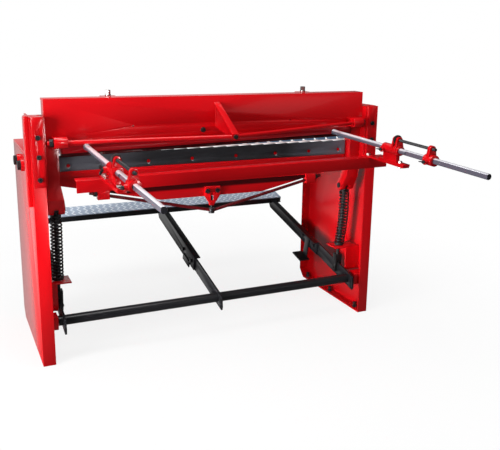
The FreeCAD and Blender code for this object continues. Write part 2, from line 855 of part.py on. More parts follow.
def bed_truss_bracket():
    """The pointed plate on the bed's web and the threaded block at its tip."""
    body = add("PartDesign::Body", "bed_truss_bracket_body")
    outline = [
        ("bracket_x - bracket_half_width", "bracket_top"),
        ("bracket_x + bracket_half_width", "bracket_top"),
        ("bracket_x + bracket_half_width", "bracket_shoulder"),
        ("bracket_x + bracket_tip_half_width", "bracket_tip"),
        ("bracket_x - bracket_tip_half_width", "bracket_tip"),
        ("bracket_x - bracket_half_width", "bracket_shoulder"),
    ]
    pad(body, "bracket_plate_pad", "XZ", outline, WEB_BACK, WEB_BACK + " + bracket_thick")
    block = corners_of(
        about("bracket_x", "bracket_tip_half_width + bracket_thick / 2"), ("bracket_tip", "bracket_window_low")
    )
    pad(body, "bracket_block_pad", "XZ", block, BED_ROD_Y + " - bracket_thick", WEB_BACK)
    holes = [
        ("bracket_x + %s * bracket_bolt_pitch / 2" % turn, "bracket_bolt_z", BRACKET_HOLE)
        for turn in ("-1", "1")
    ]
    rounds(body, "bracket_holes", "XZ", holes, WEB_BACK, WEB_BACK + " + bracket_thick")
    window = corners_of(
        about("bracket_x", "bracket_tip_half_width"), ("bracket_window_low", "bracket_window_high")
    )
    pad(body, "bracket_window", "XZ", window, WEB_BACK, WEB_BACK + " + bracket_thick", cutting=True)
    bore = ("bracket_x", BED_ROD_Y, "bracket_tip - bed_rod")
    room = rod(
        "adjuster_room", "Z", bore, "adjuster + hole_clearance", "bracket_shoulder - bracket_tip + bed_rod"
    )
    return node("bed_truss_bracket", [cut("bed_truss_bracket_bored", body, [room])])


BRACKET_HOLE = "bracket_bolt + hole_clearance"
bed_truss_bracket()


def bed_truss_fasteners():
    """End nuts, bracket bolts, the adjusting screw and the saddle on the rod's bend."""
    pieces = []
    for word, side in SIDES:
        nut = add("Part::Prism", "bed_nut_" + word)
        nut.Polygon = 6
        bind(nut, "Circumradius", "bed_nut / 2")
        bind(nut, "Height", "bed_nut_length")
        place = "placement(vector(0; %s; bed_rod_low); rotation(vector(0; 1; 0); %d * (90 deg - %s)))" % (
            BED_ROD_Y, side, BED_SLOPE
        )
        along = "(bed_lug_inner + bed_lug_length) / cos(%s) + bed_nut / 2 * tan(%s)" % (BED_SLOPE, BED_SLOPE)
        bind(nut, "Placement", place + " * placement(vector(0; 0; %s); %s)" % (along, FLAT_DOWN))
        pieces.append(
            cut("bed_nut_bored_" + word, nut, [bed_rod_half("bed_nut_bore_" + word, side, "bed_rod")])
        )
        at = ("bracket_x + %d * bracket_bolt_pitch / 2" % side, WEB_BACK + " + bracket_thick", "bracket_bolt_z")
        pieces.append(
            screw(
                "bracket_bolt_" + word, "Y", at, "bracket_bolt", "bracket_thick", "bracket_bolt_head",
                "bracket_bolt_head_height",
            )
        )
    at = ("bracket_x", BED_ROD_Y, "bed_rod_low + saddle_height / 2 + seat_clearance")
    top = span("bed_rod_low + saddle_height / 2 + seat_clearance", "bed_low - adjuster_gap")
    pieces.append(rod("adjusting_screw", "Z", at, "adjuster", top))
    cup = rod(
        "saddle_cup",
        "Z",
        ("bracket_x", BED_ROD_Y, "bed_rod_low - saddle_height / 2"),
        "saddle",
        "saddle_height",
    )
    pieces.append(cut("saddle_bored", cup, [bed_rod_shape("saddle_room", "bed_rod")]))
    return node("bed_truss_fasteners", pieces)


bed_truss_fasteners()


# Slide ways in the columns, the gib plates over them, their screws and the outer guide bars
GIB_HEIGHTS = ("gib_screw_low", "gib_screw_middle", "gib_screw_high")
GIB_FRONT = "(leg_depth / 2 - gib_thick)"
GIB_MIDDLE = "((frame_width / 2 - leg_flange + frame_width / 2 - leg_sheet) / 2)"


def slide_way(word, side):
    """One way block with the groove that the beam's tongue runs in."""
    x = across(side, WAY_FACE, PLATE)
    block = box("way_block_" + word, x, ("way_front", GIB_FRONT), ("way_bottom", "column_height - way_top_gap"))
    groove_x = across(side, WAY_FACE, BEAM_HALF + " + tongue_depth + 2 * seat_clearance")
    groove_y = ("tongue_front - running_fit", "tongue_front + tongue_thick + running_fit")
    tools = [box("way_groove_" + word, groove_x, groove_y, ("way_bottom", "column_height - way_top_gap"))]
    for height in GIB_HEIGHTS:
        at = ("%d * %s" % (side, GIB_MIDDLE), GIB_FRONT + " - gib_screw_depth", height)
        tools.append(
            rod("%s_tap_%s" % (word, height), "Y", at, "gib_screw + hole_clearance", "gib_screw_depth")
        )
    return cut("way_" + word, block, tools)


def gib_plate(word, side):
    """One gib plate, drilled for three cap screws."""
    plate = box(
        "gib_bar_" + word, across(side, FLANGE, PLATE), (GIB_FRONT, BACK), ("gib_bottom", "column_height")
    )
    tools = []
    for height in GIB_HEIGHTS:
        at = ("%d * %s" % (side, GIB_MIDDLE), GIB_FRONT, height)
        tools.append(rod("gib_hole_%s_%s" % (word, height), "Y", at, "gib_screw + hole_clearance", "gib_thick"))
    return cut("gib_" + word, plate, tools)


node("slide_ways", [slide_way(word, side) for word, side in SIDES])
node("gib_plates", [gib_plate(word, side) for word, side in SIDES])
node("gib_screws", [
    screw(
        "gib_screw_%s_%s" % (word, height),
        "Y",
        ("%d * %s" % (side, GIB_MIDDLE), BACK, height),
        "gib_screw",
        "gib_thick + gib_screw_depth - hole_clearance",
        "gib_screw_head",
        "gib_screw_head_height",
    )
    for word, side in SIDES
    for height in GIB_HEIGHTS
])


def guide_bar(word, side):
    """One outer bar, rounded at its top outer corner."""
    body = add("PartDesign::Body", "guide_bar_" + word)
    outline = corners_of((OUTER, OUTER + " + guide_bar_thick"), ("guide_bar_bottom", "column_height"))
    pad(body, "guide_bar_pad_" + word, "XZ", mirrored(side, outline), "guide_bar_front", "guide_bar_back")
    corner = ("%d * (%s + guide_bar_thick)" % (side, OUTER), "column_height")
    round_off(body, "guide_bar_round_" + word, "Y", corner, "column_round")
    return body


node("guide_bars", [guide_bar(word, side) for word, side in SIDES])


# Bolts of the frame: four through the leg bosses into the table ribs, and six levelling screws
def table_bolt(name, side, turn):
    """One table bolt, its hexagon head outside."""
    face = "%d * (%s + guide_bar_thick)" % (side, OUTER)
    at = (
        face if side > 0 else face + " - table_bolt_head_height",
        "%s * table_bolt_pitch / 2" % turn,
        TABLE_BOLT_Z,
    )
    head = hexagon(name + "_head", "X", at, "table_bolt_head", "table_bolt_head_height")
    inner, outer = across(side, PLATE + " - table_rib_width / 2 + hole_clearance", OUTER + " + guide_bar_thick")
    shank = rod(name + "_shank", "X", (inner, at[1], at[2]), "table_bolt", span(inner, outer))
    return fuse(name, [head, shank])


def levelling_screw(name, side, turn):
    """One levelling screw in the floor flange, flush with the floor, with its lock nut and head."""
    x = "%d * %s" % (side, HOLE_X)
    y = "%s * level_spacing" % turn
    shank = rod(name + "_shank", "Z", (x, y, "0"), "level_screw", "level_screw_height")
    nut = hexagon(name + "_nut", "Z", (x, y, "leg_sheet"), "level_head", "level_screw - 2 * hole_clearance")
    head = hexagon(name + "_head", "Z", (x, y, "level_screw_height - leg_sheet"), "level_head", "leg_sheet")
    return fuse(name, [shank, nut, head])


node(
    "frame_bolts",
    [table_bolt("table_bolt_%s_%s" % (word, turn), side, turn) for word, side in SIDES for turn in ("-1", "1")]
    + [
        levelling_screw("level_%s_%s" % (word, turn), side, turn)
        for word, side in SIDES
        for turn in ("-1", "0", "1")
    ],
)


# Bearing blocks of the treadle tube
def pivot_block(word, side):
    """One block with a running bore for the tube's journal."""
    half = "pivot_block / 2"
    x = across(side, "pivot_block_inner", PLATE)
    block = box("pivot_bar_" + word, x, about("pivot_y", half), about("pivot_z", half))
    bore = rod(
        "pivot_bore_" + word, "X", (x[0], "pivot_y", "pivot_z"), "pivot_journal + 2 * running_fit", span(*x)
    )
    return cut("pivot_block_" + word, block, [bore])


node("pivot_blocks", [pivot_block(word, side) for word, side in SIDES])


# Brackets that the return springs stand on
def spring_bracket(word, side):
    """One shelf with a hole for the link, and the web that holds it to the leg."""
    body = add("PartDesign::Body", "spring_bracket_" + word)
    depth = ("spring_plate_front", "spring_plate_back")
    shelf = corners_of(across(side, "spring_plate_inner", PLATE), depth)
    shelf_z = ("spring_plate_top - spring_plate_thick", "spring_plate_top")
    pad(body, "spring_shelf_" + word, "XY", shelf, *shelf_z)
    web = corners_of(across(side, "spring_web_inner", PLATE), ("spring_web_bottom", shelf_z[0]))
    pad(body, "spring_web_" + word, "XZ", web, "spring_plate_back - spring_plate_thick", "spring_plate_back")
    hole = [("%d * link_x" % side, PLATE_HOLE_Y, "spring_plate_hole")]
    rounds(body, "spring_shelf_hole_" + word, "XY", hole, *shelf_z)
    return body


node("spring_brackets", [spring_bracket(word, side) for word, side in SIDES])

# Return springs about the links, from the brackets up to the seats under the bosses
SPRING_TOP = "(spring_seat_drop + spring_seat_thick + spring_wire / 2)"
SPRING_LOW = "(%s - spring_wire / 2 - spring_width / 2 * tan(%s) - seat_clearance)" % (PLATE_REACH, LINK_LEAN)
for word, side in SIDES:
    height = span(SPRING_TOP, SPRING_LOW)
    wound = coil("return_coil_" + word, "spring_width", "spring_wire", "spring_turns", height)
    bind(wound, "Placement.Base.z", "-" + SPRING_LOW)
    node("return_spring_" + word, [wound], link_frame(side))


# Blade beam: web, top flange and the lugs that the hold-down hangs on
def beam():
    """The beam's folded section; the web's lower edge follows the upper blade's rake."""
    body = add("PartDesign::Body", "beam")
    drop = BEAM_HALF + " * tan(rake)"
    web = [
        ("-" + BEAM_HALF, "beam_top"),
        (BEAM_HALF, "beam_top"),
        (BEAM_HALF, "%s + web_lift - %s" % (EDGE, drop)),
        ("-" + BEAM_HALF, "%s + web_lift + %s" % (EDGE, drop)),
    ]
    pad(body, "beam_web_pad", "XZ", web, WEB_FRONT, "beam_back")
    flange = corners_of((BEAM_FRONT, "beam_back"), (LUG_TOP, "beam_top"))
    pad(body, "beam_flange_pad", "YZ", flange, *both_ways(BEAM_HALF))
    for word, side in SIDES:
        lug = corners_of(
            about("%d * hold_bolt_x" % side, "lug_width / 2"), (BEAM_FRONT + " - lug_reach", BEAM_FRONT)
        )
        pad(body, "beam_lug_" + word, "XY", lug, "beam_top - lug_thick", "beam_top")
    holes = [("%d * hold_bolt_x" % side, HOLD_BOLT_Y, "hold_bolt + 2 * running_fit") for word, side in SIDES]
    rounds(body, "beam_lug_holes", "XY", holes, "beam_top - lug_thick", "beam_top")
    small = [(x, "web_hole_z", "web_hole") for x in ("web_hole_right", "web_hole_left")]
    rounds(body, "beam_web_holes", "XZ", small, WEB_FRONT, "beam_back")
    return body_node(body)


beam()


# Arms that hang from the beam's ends
def beam_arm(word, side):
    """One arm with its link boss below and the sliding tongue on its outer face."""
    name = "beam_arm_" + word
    body = add("PartDesign::Body", name)
    inner = BEAM_HALF + " - arm_width"
    outline = [
        (inner, LUG_TOP),
        (BEAM_HALF, LUG_TOP),
        (BEAM_HALF, "boss_z"),
        (inner + " - arm_taper", "boss_z"),
        (inner + " - arm_taper", "boss_z + boss / 3"),
        (inner, "arm_taper_top"),
    ]
    pad(body, name + "_blade", "XZ", mirrored(side, outline), "arm_front", WEB_FRONT)
    lower = [
        (WEB_FRONT, "arm_taper_top"),
        (WEB_FRONT, "boss_z + boss"),
        ("arm_front + boss / 2", "boss_z"),
        ("arm_front", "boss_z"),
        ("arm_front", "boss_z - boss"),
        ("arm_back + boss", "boss_z - boss"),
        ("arm_back + boss", "arm_taper_top"),
    ]
    low, high = across(side, inner + " - arm_taper", BEAM_HALF)
    pad(body, name + "_chamfer", "YZ", lower, low, high, cutting=True)
    boss_x = across(side, BEAM_HALF + " - boss_length - arm_taper / 2", BEAM_HALF)
    rounds(body, name + "_boss", "YZ", [("arm_front", "boss_z", "boss")], *boss_x, cutting=False)
    tongue = corners_of(
        ("tongue_front", "tongue_front + tongue_thick"), ("tongue_bottom", "tongue_bottom + tongue_length")
    )
    pad(body, name + "_tongue", "YZ", tongue, *across(side, BEAM_HALF, BEAM_HALF + " + tongue_depth"))
    rounds(body, name + "_bore", "YZ", [("arm_front", "boss_z", "swivel_pin + 2 * running_fit")], *boss_x)
    slot = corners_of(
        about("%d * link_x" % side, "link_rod / 2 + 2 * seat_clearance"), about("arm_front", "boss")
    )
    pad(body, name + "_slot", "XY", slot, "boss_z - boss", "boss_z", cutting=True)
    return body_node(body)


for word, side in SIDES:
    beam_arm(word, side)


# Raked rail that carries the upper blade, the gauge rods and the truss bosses
def truss_boss(word, side):
    """The solid of one truss boss and the foot that joins it to the rail."""
    x = across(side, "truss_boss_x - truss_boss_length / 2", "truss_boss_x + truss_boss_length / 2")
    foot_z = ("ledge_bottom + ledge_height", "ledge_bottom + ledge_height + truss_foot_height")
    foot = box("truss_foot_" + word, x, (WEB_FACE, "beam_rod_end_back"), foot_z)
    at = (x[0], "beam_rod_end_back", "beam_rod_lift")
    barrel = rod("truss_barrel_" + word, "X", at, "truss_boss", "truss_boss_length")
    return fuse("truss_boss_" + word, [foot, barrel])


def truss_half(name, turn, width):
    """One straight half of the beam's truss rod, from its rear middle to its threaded end."""
    half = add("Part::Cylinder", name)
    bind(half, "Radius", "(%s) / 2" % width)
    reach = "(truss_boss_x + truss_boss_length / 2 + truss_nut_length + truss_rod_tail)"
    bind(half, "Height", "%s / cos(%s)" % (reach, TRUSS_TURN))
    middle = "placement(vector(0; beam_rod_end_back + beam_rod_bow; beam_rod_lift); rotation(vector(0; 0; 1); %s))"
    turn_text = "-%s" % TRUSS_TURN if turn > 0 else "180 deg + " + TRUSS_TURN
    lay = " * placement(vector(0; 0; 0); rotation(vector(0; 1; 0); 90))"
    bind(half, "Placement", middle % turn_text + lay)
    return half


def truss_rod_shape(name, width):
    """The whole bowed rod behind the beam, or the room that it needs."""
    bend = add("Part::Sphere", name + "_bend")
    bind(bend, "Radius", "(%s) / 2" % width)
    for letter, text in zip("xyz", ("0", "beam_rod_end_back + beam_rod_bow", "beam_rod_lift")):
        bind(bend, "Placement.Base." + letter, text)
    return fuse(name, [truss_half(name + "_" + word, side, width) for word, side in SIDES] + [bend])


def rail_section():
    """The rail's outline in Y and Z: a deep bar with the ledge behind it and a sloping face above the ledge."""
    ledge_top = "ledge_bottom + ledge_height"
    return [
        (RAIL_FRONT, "blade_rail_bottom"),
        (RAIL_BACK, "blade_rail_bottom"),
        (RAIL_BACK, "ledge_bottom"),
        (LEDGE_BACK, "ledge_bottom"),
        (LEDGE_BACK, ledge_top),
        (RAIL_BACK, ledge_top),
        (WEB_FACE, "web_lift - seat_clearance / 2"),
        (RAIL_BACK, "web_lift - seat_clearance / 2"),
        (RAIL_BACK, "blade_rail_bottom + blade_rail_height"),
        (RAIL_FRONT, "blade_rail_bottom + blade_rail_height"),
    ]


WEB_FACE = "(beam_back - shear_y)"
UPPER_HOLES = ["%d * upper_screw_pitch" % turn for turn in (-3, -2, -1, 0, 1, 2, 3)]


def blade_rail():
    """The rail in the raked frame, bored for the gauge rods, the truss rod and the blade screws."""
    body = add("PartDesign::Body", "blade_rail_body")
    pad(body, "blade_rail_pad", "YZ", rail_section(), *both_ways("upper_blade_length / 2"))
    whole = fuse("blade_rail_welded", [body] + [truss_boss(word, side) for word, side in SIDES])
    tools = [truss_rod_shape("truss_rod_room", "beam_rod + 2 * hole_clearance")]
    for index, x in enumerate(UPPER_HOLES):
        at = (x, RAIL_FRONT, "upper_screw_lift")
        length = "%s - %s" % (RAIL_BACK, RAIL_FRONT)
        tools.append(rod("rail_hole_%d" % index, "Y", at, "upper_screw + hole_clearance", length))
    raked = add("Part::Compound", "blade_rail_raked")
    raked.Links = [cut("blade_rail_bored", whole, tools)]
    bind(raked, "Placement", RAKED)
    studs = add("Part::Compound", "gauge_stud_rooms")
    studs.Links = [
        rod(
            "gauge_stud_room_" + word, "Y", ("%d * gauge_rod_x" % side, "-gauge_stud_length", "0"),
            "gauge_stud + hole_clearance", "2 * gauge_stud_length",
        )
        for word, side in SIDES
    ]
    bind(studs, "Placement", GAUGE)
    return node("blade_rail", [cut("blade_rail_tapped", raked, [studs])])


blade_rail()


# Upper blade and its screws
def upper_blade():
    """The raked blade, tapped for its screws."""
    length = both_ways("upper_blade_length / 2")
    bar = box("upper_blade_bar", length, ("blade_gap", RAIL_FRONT), ("0", "upper_blade_height"))
    tools = []
    for index, x in enumerate(UPPER_HOLES):
        at = (x, RAIL_FRONT + " - upper_blade_thick / 2", "upper_screw_lift")
        tools.append(
            rod("blade_tap_%d" % index, "Y", at, "upper_screw + hole_clearance", "upper_blade_thick / 2")
        )
    return node("upper_blade", [cut("upper_blade_tapped", bar, tools)], RAKED)


upper_blade()
node(
    "upper_blade_screws",
    [
        screw(
            "upper_screw_%d" % index,
            "Y",
            (x, RAIL_BACK, "upper_screw_lift"),
            "upper_screw",
            "%s - %s + upper_blade_thick / 2 - hole_clearance" % (RAIL_BACK, RAIL_FRONT),
            "upper_screw_head",
            "upper_screw_head_height",
        )
        for index, x in enumerate(UPPER_HOLES)
    ],
    RAKED,
)

# Truss rod behind the beam, its gusset and fasteners
node("beam_truss_rod", [truss_rod_shape("truss_rod_bar", "beam_rod")], RAKED)
TIP_Y = "(shear_y + beam_rod_end_back + beam_rod_bow)"
TIP_Z = "(%s + beam_rod_lift)" % EDGE


def truss_gusset():
    """The upright plate that holds the rod's middle away from the web, with a sloping flange on its edge."""
    body = add("PartDesign::Body", "truss_gusset")
    outline = [
        ("beam_back", "gusset_top"),
        ("beam_back", "gusset_foot"),
        (TIP_Y + " - gusset_tip_half", TIP_Z + " - gusset_tip_half"),
        (TIP_Y + " + gusset_tip_half", TIP_Z + " - gusset_tip_half"),
        (TIP_Y + " + gusset_tip_half", TIP_Z + " + gusset_tip_half"),
    ]
    x = about("gusset_x", "gusset_thick / 2")
    pad(body, "gusset_pad", "YZ", outline, *x)
    flange = [
        ("beam_back", "gusset_top"),
        ("beam_back", "gusset_top - gusset_flange_thick"),
        (TIP_Y + " + gusset_tip_half", TIP_Z + " + gusset_tip_half - gusset_flange_thick"),
        (TIP_Y + " + gusset_tip_half", TIP_Z + " + gusset_tip_half"),
    ]
    pad(body, "gusset_flange_pad", "YZ", flange, *about("gusset_x", "gusset_flange / 2"))
    play = "gusset_thick * tan(%s)" % TRUSS_TURN
    rounds(body, "gusset_hole", "YZ", [(TIP_Y + " - " + play, TIP_Z, "beam_rod + 2 * %s" % play)], *x)
    return body_node(body)


truss_gusset()


def truss_fasteners():
    """Nuts on the rod's ends, the nut at the gusset's tip and the bolt head on the web."""
    pieces = []
    for word, side in SIDES:
        x = across(
            side,
            "truss_boss_x + truss_boss_length / 2",
            "truss_boss_x + truss_boss_length / 2 + truss_nut_length",
        )
        at = (x[0], TRUSS_NUT_Y, "beam_rod_lift")
        nut = hexagon("truss_nut_body_" + word, "X", at, "truss_nut / 2", "truss_nut_length")
        bore = truss_half("truss_nut_bore_" + word, side, "beam_rod + 2 * hole_clearance")
        pieces.append(cut("truss_nut_" + word, nut, [bore]))
    flat = "gusset_tip_half + beam_rod_end_back + beam_rod_bow"
    tip = hexagon("tip_nut_body", "Y", ("gusset_x", flat, "beam_rod_lift"), "tip_nut / 2", "tip_nut_length")
    pieces.append(tip)
    up = "web_bolt_z - %s + web_bolt_x * tan(rake)" % EDGE
    pieces.append(hexagon("web_bolt", "Y", ("web_bolt_x", WEB_FACE, up), "web_bolt_head / 2", "tip_nut_length"))
    return node("truss_fasteners", pieces, RAKED)


TRUSS_NUT_Y = "(beam_rod_end_back - (truss_boss_length / 2 + truss_nut_length / 2) * tan(%s))" % TRUSS_TURN
truss_fasteners()


# Gauge rods, each with a root collar and a flat along its outer length
def gauge_rod(word, side):
    """One rod whose +X side is milled flat for the scale."""
    x = "%d * gauge_rod_x" % side
    bar = rod("gauge_bar_round_" + word, "Y", (x, "gauge_root_gap", "0"), "gauge_rod", "gauge_rod_length")
    collar = rod("gauge_root_" + word, "Y", (x, "gauge_root_gap", "0"), "rod_collar", "rod_collar_length")
    stud = rod("gauge_stud_" + word, "Y", (x, "-gauge_stud_length", "0"), "gauge_stud", "2 * gauge_stud_length")
    flat_x = (x + " + gauge_rod / 2 - gauge_flat_depth", x + " + gauge_rod")
    flat = box(
        "gauge_flat_" + word,
        flat_x,
        ("gauge_flat_start", "gauge_rod_length + gauge_rod"),
        both_ways("gauge_rod"),
    )
    return cut("gauge_rod_" + word, fuse("gauge_rod_shaft_" + word, [bar, collar, stud]), [flat])


node("gauge_rods", [gauge_rod(word, side) for word, side in SIDES], GAUGE)


# Hold-down with fingers, its lifting bolts and springs
def hold_down():
    """An angle bar in front of the beam; the foot's rear edge is notched into fingers."""
    body = add("PartDesign::Body", "hold_down")
    foot_back = "hold_down_front + hold_down_foot"
    section = [
        ("hold_down_front", HOLD_LOW),
        (foot_back, HOLD_LOW),
        (foot_back, HOLD_LOW + " + hold_down_foot_thick"),
        ("hold_down_front + hold_down_thick", HOLD_LOW + " + hold_down_foot_thick"),
        ("hold_down_front + hold_down_thick", HOLD_TOP),
        ("hold_down_front", HOLD_TOP),
    ]
    pad(body, "hold_down_pad", "YZ", section, *both_ways("hold_down_length / 2"))
    bosses = [("%d * hold_bolt_x" % side, HOLD_BOLT_Y, "hold_down_boss") for word, side in SIDES]
    rounds(
        body, "hold_down_bosses", "XY", bosses, HOLD_TOP, HOLD_TOP + " + hold_down_boss_height", cutting=False
    )
    bores = [(a, b, "hold_bolt + hole_clearance") for a, b, width in bosses]
    bore_low = HOLD_TOP + " - hold_down_boss_height"
    rounds(body, "hold_down_bores", "XY", bores, bore_low, HOLD_TOP + " + hold_down_boss_height")
    notch = corners_of(
        about("-hold_down_length / 2 + finger_pitch / 2", "finger_notch / 2"),
        (foot_back + " - finger_notch_depth", foot_back),
    )
    first = pad(
        body, "finger_notch_first", "XY", notch, HOLD_LOW, HOLD_LOW + " + hold_down_foot_thick", cutting=True
    )
    document.recompute()
    row = body.newObject("PartDesign::LinearPattern", "finger_notches")
    row.Originals = [first]
    row.Direction = (first.Profile[0], ["H_Axis"])
    bind(row, "Length", "floor(hold_down_length / finger_pitch - 1) * finger_pitch")
    bind(row, "Occurrences", "floor(hold_down_length / finger_pitch)")
    body.Tip = row
    return body_node(body)


hold_down()


def hold_down_bolt(word, side):
    """One lifting bolt: a silver head on a collar that rests on the beam's lug."""
    x = "%d * hold_bolt_x" % side
    low = HOLD_TOP + " - hold_down_boss_height + hole_clearance"
    collar_low = "beam_top + seat_clearance"
    shank = rod("lift_shank_" + word, "Z", (x, HOLD_BOLT_Y, low), "hold_bolt", span(low, collar_low))
    collar = rod(
        "lift_collar_" + word, "Z", (x, HOLD_BOLT_Y, collar_low), "hold_bolt_collar", "hold_bolt_collar_height"
    )
    at = (x, HOLD_BOLT_Y, collar_low + " + hold_bolt_collar_height")
    head = hexagon("lift_head_" + word, "Z", at, "hold_bolt_head", "hold_bolt_head_height")
    return fuse("lift_bolt_" + word, [shank, collar, head])


def hold_down_spring(word, side):
    """One spring between the hold-down's boss and the beam's lug."""
    low = HOLD_TOP + " + hold_down_boss_height + hold_spring_wire / 2 + seat_clearance"
    high = "beam_top - lug_thick - hold_spring_wire / 2 - seat_clearance"
    wound = coil(
        "hold_coil_" + word, "hold_spring_width", "hold_spring_wire", "hold_spring_turns", span(low, high)
    )
    for letter, text in zip("xyz", ("%d * hold_bolt_x" % side, HOLD_BOLT_Y, low)):
        bind(wound, "Placement.Base." + letter, text)
    return wound


node("hold_down_bolts", [hold_down_bolt(word, side) for word, side in SIDES])
node("hold_down_springs", [hold_down_spring(word, side) for word, side in SIDES])


# Treadle: cross tube with journals
def treadle_tube():
    """The tube, plugged at both ends by the journals that turn in the bearing blocks."""
    start = "-tube_half_length"
    bar = rod("tube_bar", "X", (start, "0", "0"), "treadle_tube", "2 * tube_half_length")
    hollow = rod("tube_hollow", "X", (start, "0", "0"), "treadle_tube - 2 * tube_wall", "2 * tube_half_length")
    pieces = [cut("tube_open", bar, [hollow])]
    for word, side in SIDES:
        plug_x = across(side, "tube_half_length - pivot_block", "tube_half_length")
        plug = rod("tube_plug_" + word, "X", (plug_x[0], "0", "0"), "treadle_tube - tube_wall", "pivot_block")
        end_x = across(side, "tube_half_length", PLATE + " - pivot_block_inner + tube_half_length")
        end = rod("tube_journal_" + word, "X", (end_x[0], "0", "0"), "pivot_journal", span(*end_x))
        pieces += [plug, end]
    return node("treadle_tube", [fuse("tube_plugged", pieces)], TREADLE)


treadle_tube()

# Treadle arms: a flat bar on the tube and an angle bolted to it that reaches the tread
ARMS = (("right", "link_x"), ("left", "-link_x"), ("middle", "0"))
ARM_HALF = "treadle_arm_thick / 2"


def rear_arm(word, middle):
    """One flat bar with its tail behind the tube; the outer ones are slotted for the clevis pin."""
    name = "arm_rear_" + word
    body = add("PartDesign::Body", name)
    half = "treadle_arm_depth / 2"
    outline = [
        ("treadle_arm_tail", "-" + half),
        ("treadle_arm_tail", "-%s / 2" % half),
        ("treadle_tube", half),
        ("-rear_arm_reach", half),
        ("-rear_arm_reach", "-" + half),
    ]
    x = about(middle, ARM_HALF)
    pad(body, name + "_pad", "YZ", outline, *x)
    bolt_holes = [
        ("-" + place, "0", "arm_bolt + hole_clearance") for place in ("arm_bolt_first", "arm_bolt_second")
    ]
    rounds(body, name + "_holes", "YZ", [("0", "0", "treadle_tube")] + bolt_holes, *x)
    if word != "middle":
        gap = "clevis_pin + 2 * seat_clearance"
        shift = "(clevis_slot_length - clevis_pin) / 2"
        ends = [("-link_reach + %s * %s" % (turn, shift), "0", gap) for turn in ("-1", "1")]
        for index, end in enumerate(ends):
            rounds(body, "%s_slot_end_%d" % (name, index), "YZ", [end], *x)
        flat = corners_of(about("-link_reach", shift), both_ways("(%s) / 2" % gap))
        pad(body, name + "_slot", "YZ", flat, *x, cutting=True)
    return body_node(body, TREADLE)


def front_arm(word, middle):
    """One angle: its web lies on the rear bar's inner face and its flange covers the bar."""
    name = "arm_front_" + word
    body = add("PartDesign::Body", name)
    inward = -1 if word == "right" else 1
    face = "%s + %d * (%s)" % (middle, inward, ARM_HALF)
    low_edge = "-treadle_arm_depth / 2"
    web = [
        ("-front_arm_start", low_edge),
        ("-front_arm_start", ARM_TOP),
        ("-tread_reach", ARM_TOP),
        ("-tread_reach", "tread_low"),
        ("-front_arm_reach", "tread_low"),
        ("-front_arm_reach", "tread_low - front_arm_cut / 4"),
        ("-front_arm_reach + front_arm_cut", low_edge),
    ]
    web_x = sorted_pair(inward, face, "%s + %d * angle_thick" % (face, inward))
    pad(body, name + "_web", "YZ", web, *web_x)
    flange = corners_of(("-tread_reach", "-front_arm_start"), ("treadle_arm_depth / 2", ARM_TOP))
    reach = -1 if word == "middle" else inward
    start = "%s + %d * angle_thick" % (face, inward) if word == "middle" else face
    flange_x = sorted_pair(reach, start, "%s + %d * angle_flange" % (start, reach))
    pad(body, name + "_flange", "YZ", flange, *flange_x)
    holes = [("-" + place, "0", "arm_bolt + hole_clearance") for place in ("arm_bolt_first", "arm_bolt_second")]
    rounds(body, name + "_holes", "YZ", holes, *web_x)
    return body_node(body, TREADLE)


def sorted_pair(direction, start, end):
    """A range from its start toward one direction of X, lowest first."""
    return (start, end) if direction > 0 else (end, start)


for word, middle in ARMS:
    rear_arm(word, middle)
for word, middle in ARMS:
    front_arm(word, middle)


def arm_bolt(word, middle, place):
    """One bolt through a rear bar and the angle beside it, with a nut on the far side."""
    name = "arm_bolt_%s_%s" % (word, place)
    inward = -1 if word == "right" else 1
    near = "%s - %d * (%s)" % (middle, inward, ARM_HALF)
    far = "%s + %d * (%s + angle_thick)" % (middle, inward, ARM_HALF)
    shank_x = sorted_pair(inward, near, far)
    head_x = sorted_pair(-inward, near, "%s - %d * arm_bolt_head_height" % (near, inward))
    nut_x = sorted_pair(inward, far, "%s + %d * arm_bolt_head_height" % (far, inward))
    pieces = [rod(name + "_shank", "X", (shank_x[0], "-" + place, "0"), "arm_bolt", span(*shank_x))]
    for label, pair in (("head", head_x), ("nut", nut_x)):
        pieces.append(
            hexagon("%s_%s" % (name, label), "X", (pair[0], "-" + place, "0"), "arm_bolt_head / 2", span(*pair))
        )
    return fuse(name, pieces)


node(
    "arm_bolts",
    [
        arm_bolt(word, middle, place)
        for word, middle in ARMS for place in ("arm_bolt_first", "arm_bolt_second")
    ],
    TREADLE,
)


# Stops that hang below the left and the middle arm
def stop_straps():
    """A strap with a foot pad under the left arm, and a short block under the middle one."""
    y = ("-stop_strap_reach - stop_strap_width", "-stop_strap_reach")
    low = "-treadle_arm_depth / 2 - stop_strap_drop"
    face = "-link_x + %s + angle_thick" % ARM_HALF
    strap = box("strap_plate", (face, face + " + stop_strap_thick"), y, (low, "treadle_arm_depth / 2"))
    pad_y = about("-stop_strap_reach - stop_strap_width / 2", "stop_pad_length / 2")
    foot = box("strap_pad", (face, face + " + stop_pad_width"), pad_y, (low + " - stop_pad_thick", low))
    side_face = ARM_HALF + " + angle_thick"
    block_z = ("-treadle_arm_depth / 2 - middle_stop_drop", "-treadle_arm_depth / 4")
    block = box("middle_stop", (side_face, side_face + " + stop_strap_thick"), pad_y, block_z)
    return node("stop_straps", [fuse("left_stop", [strap, foot]), block], TREADLE)


stop_straps()

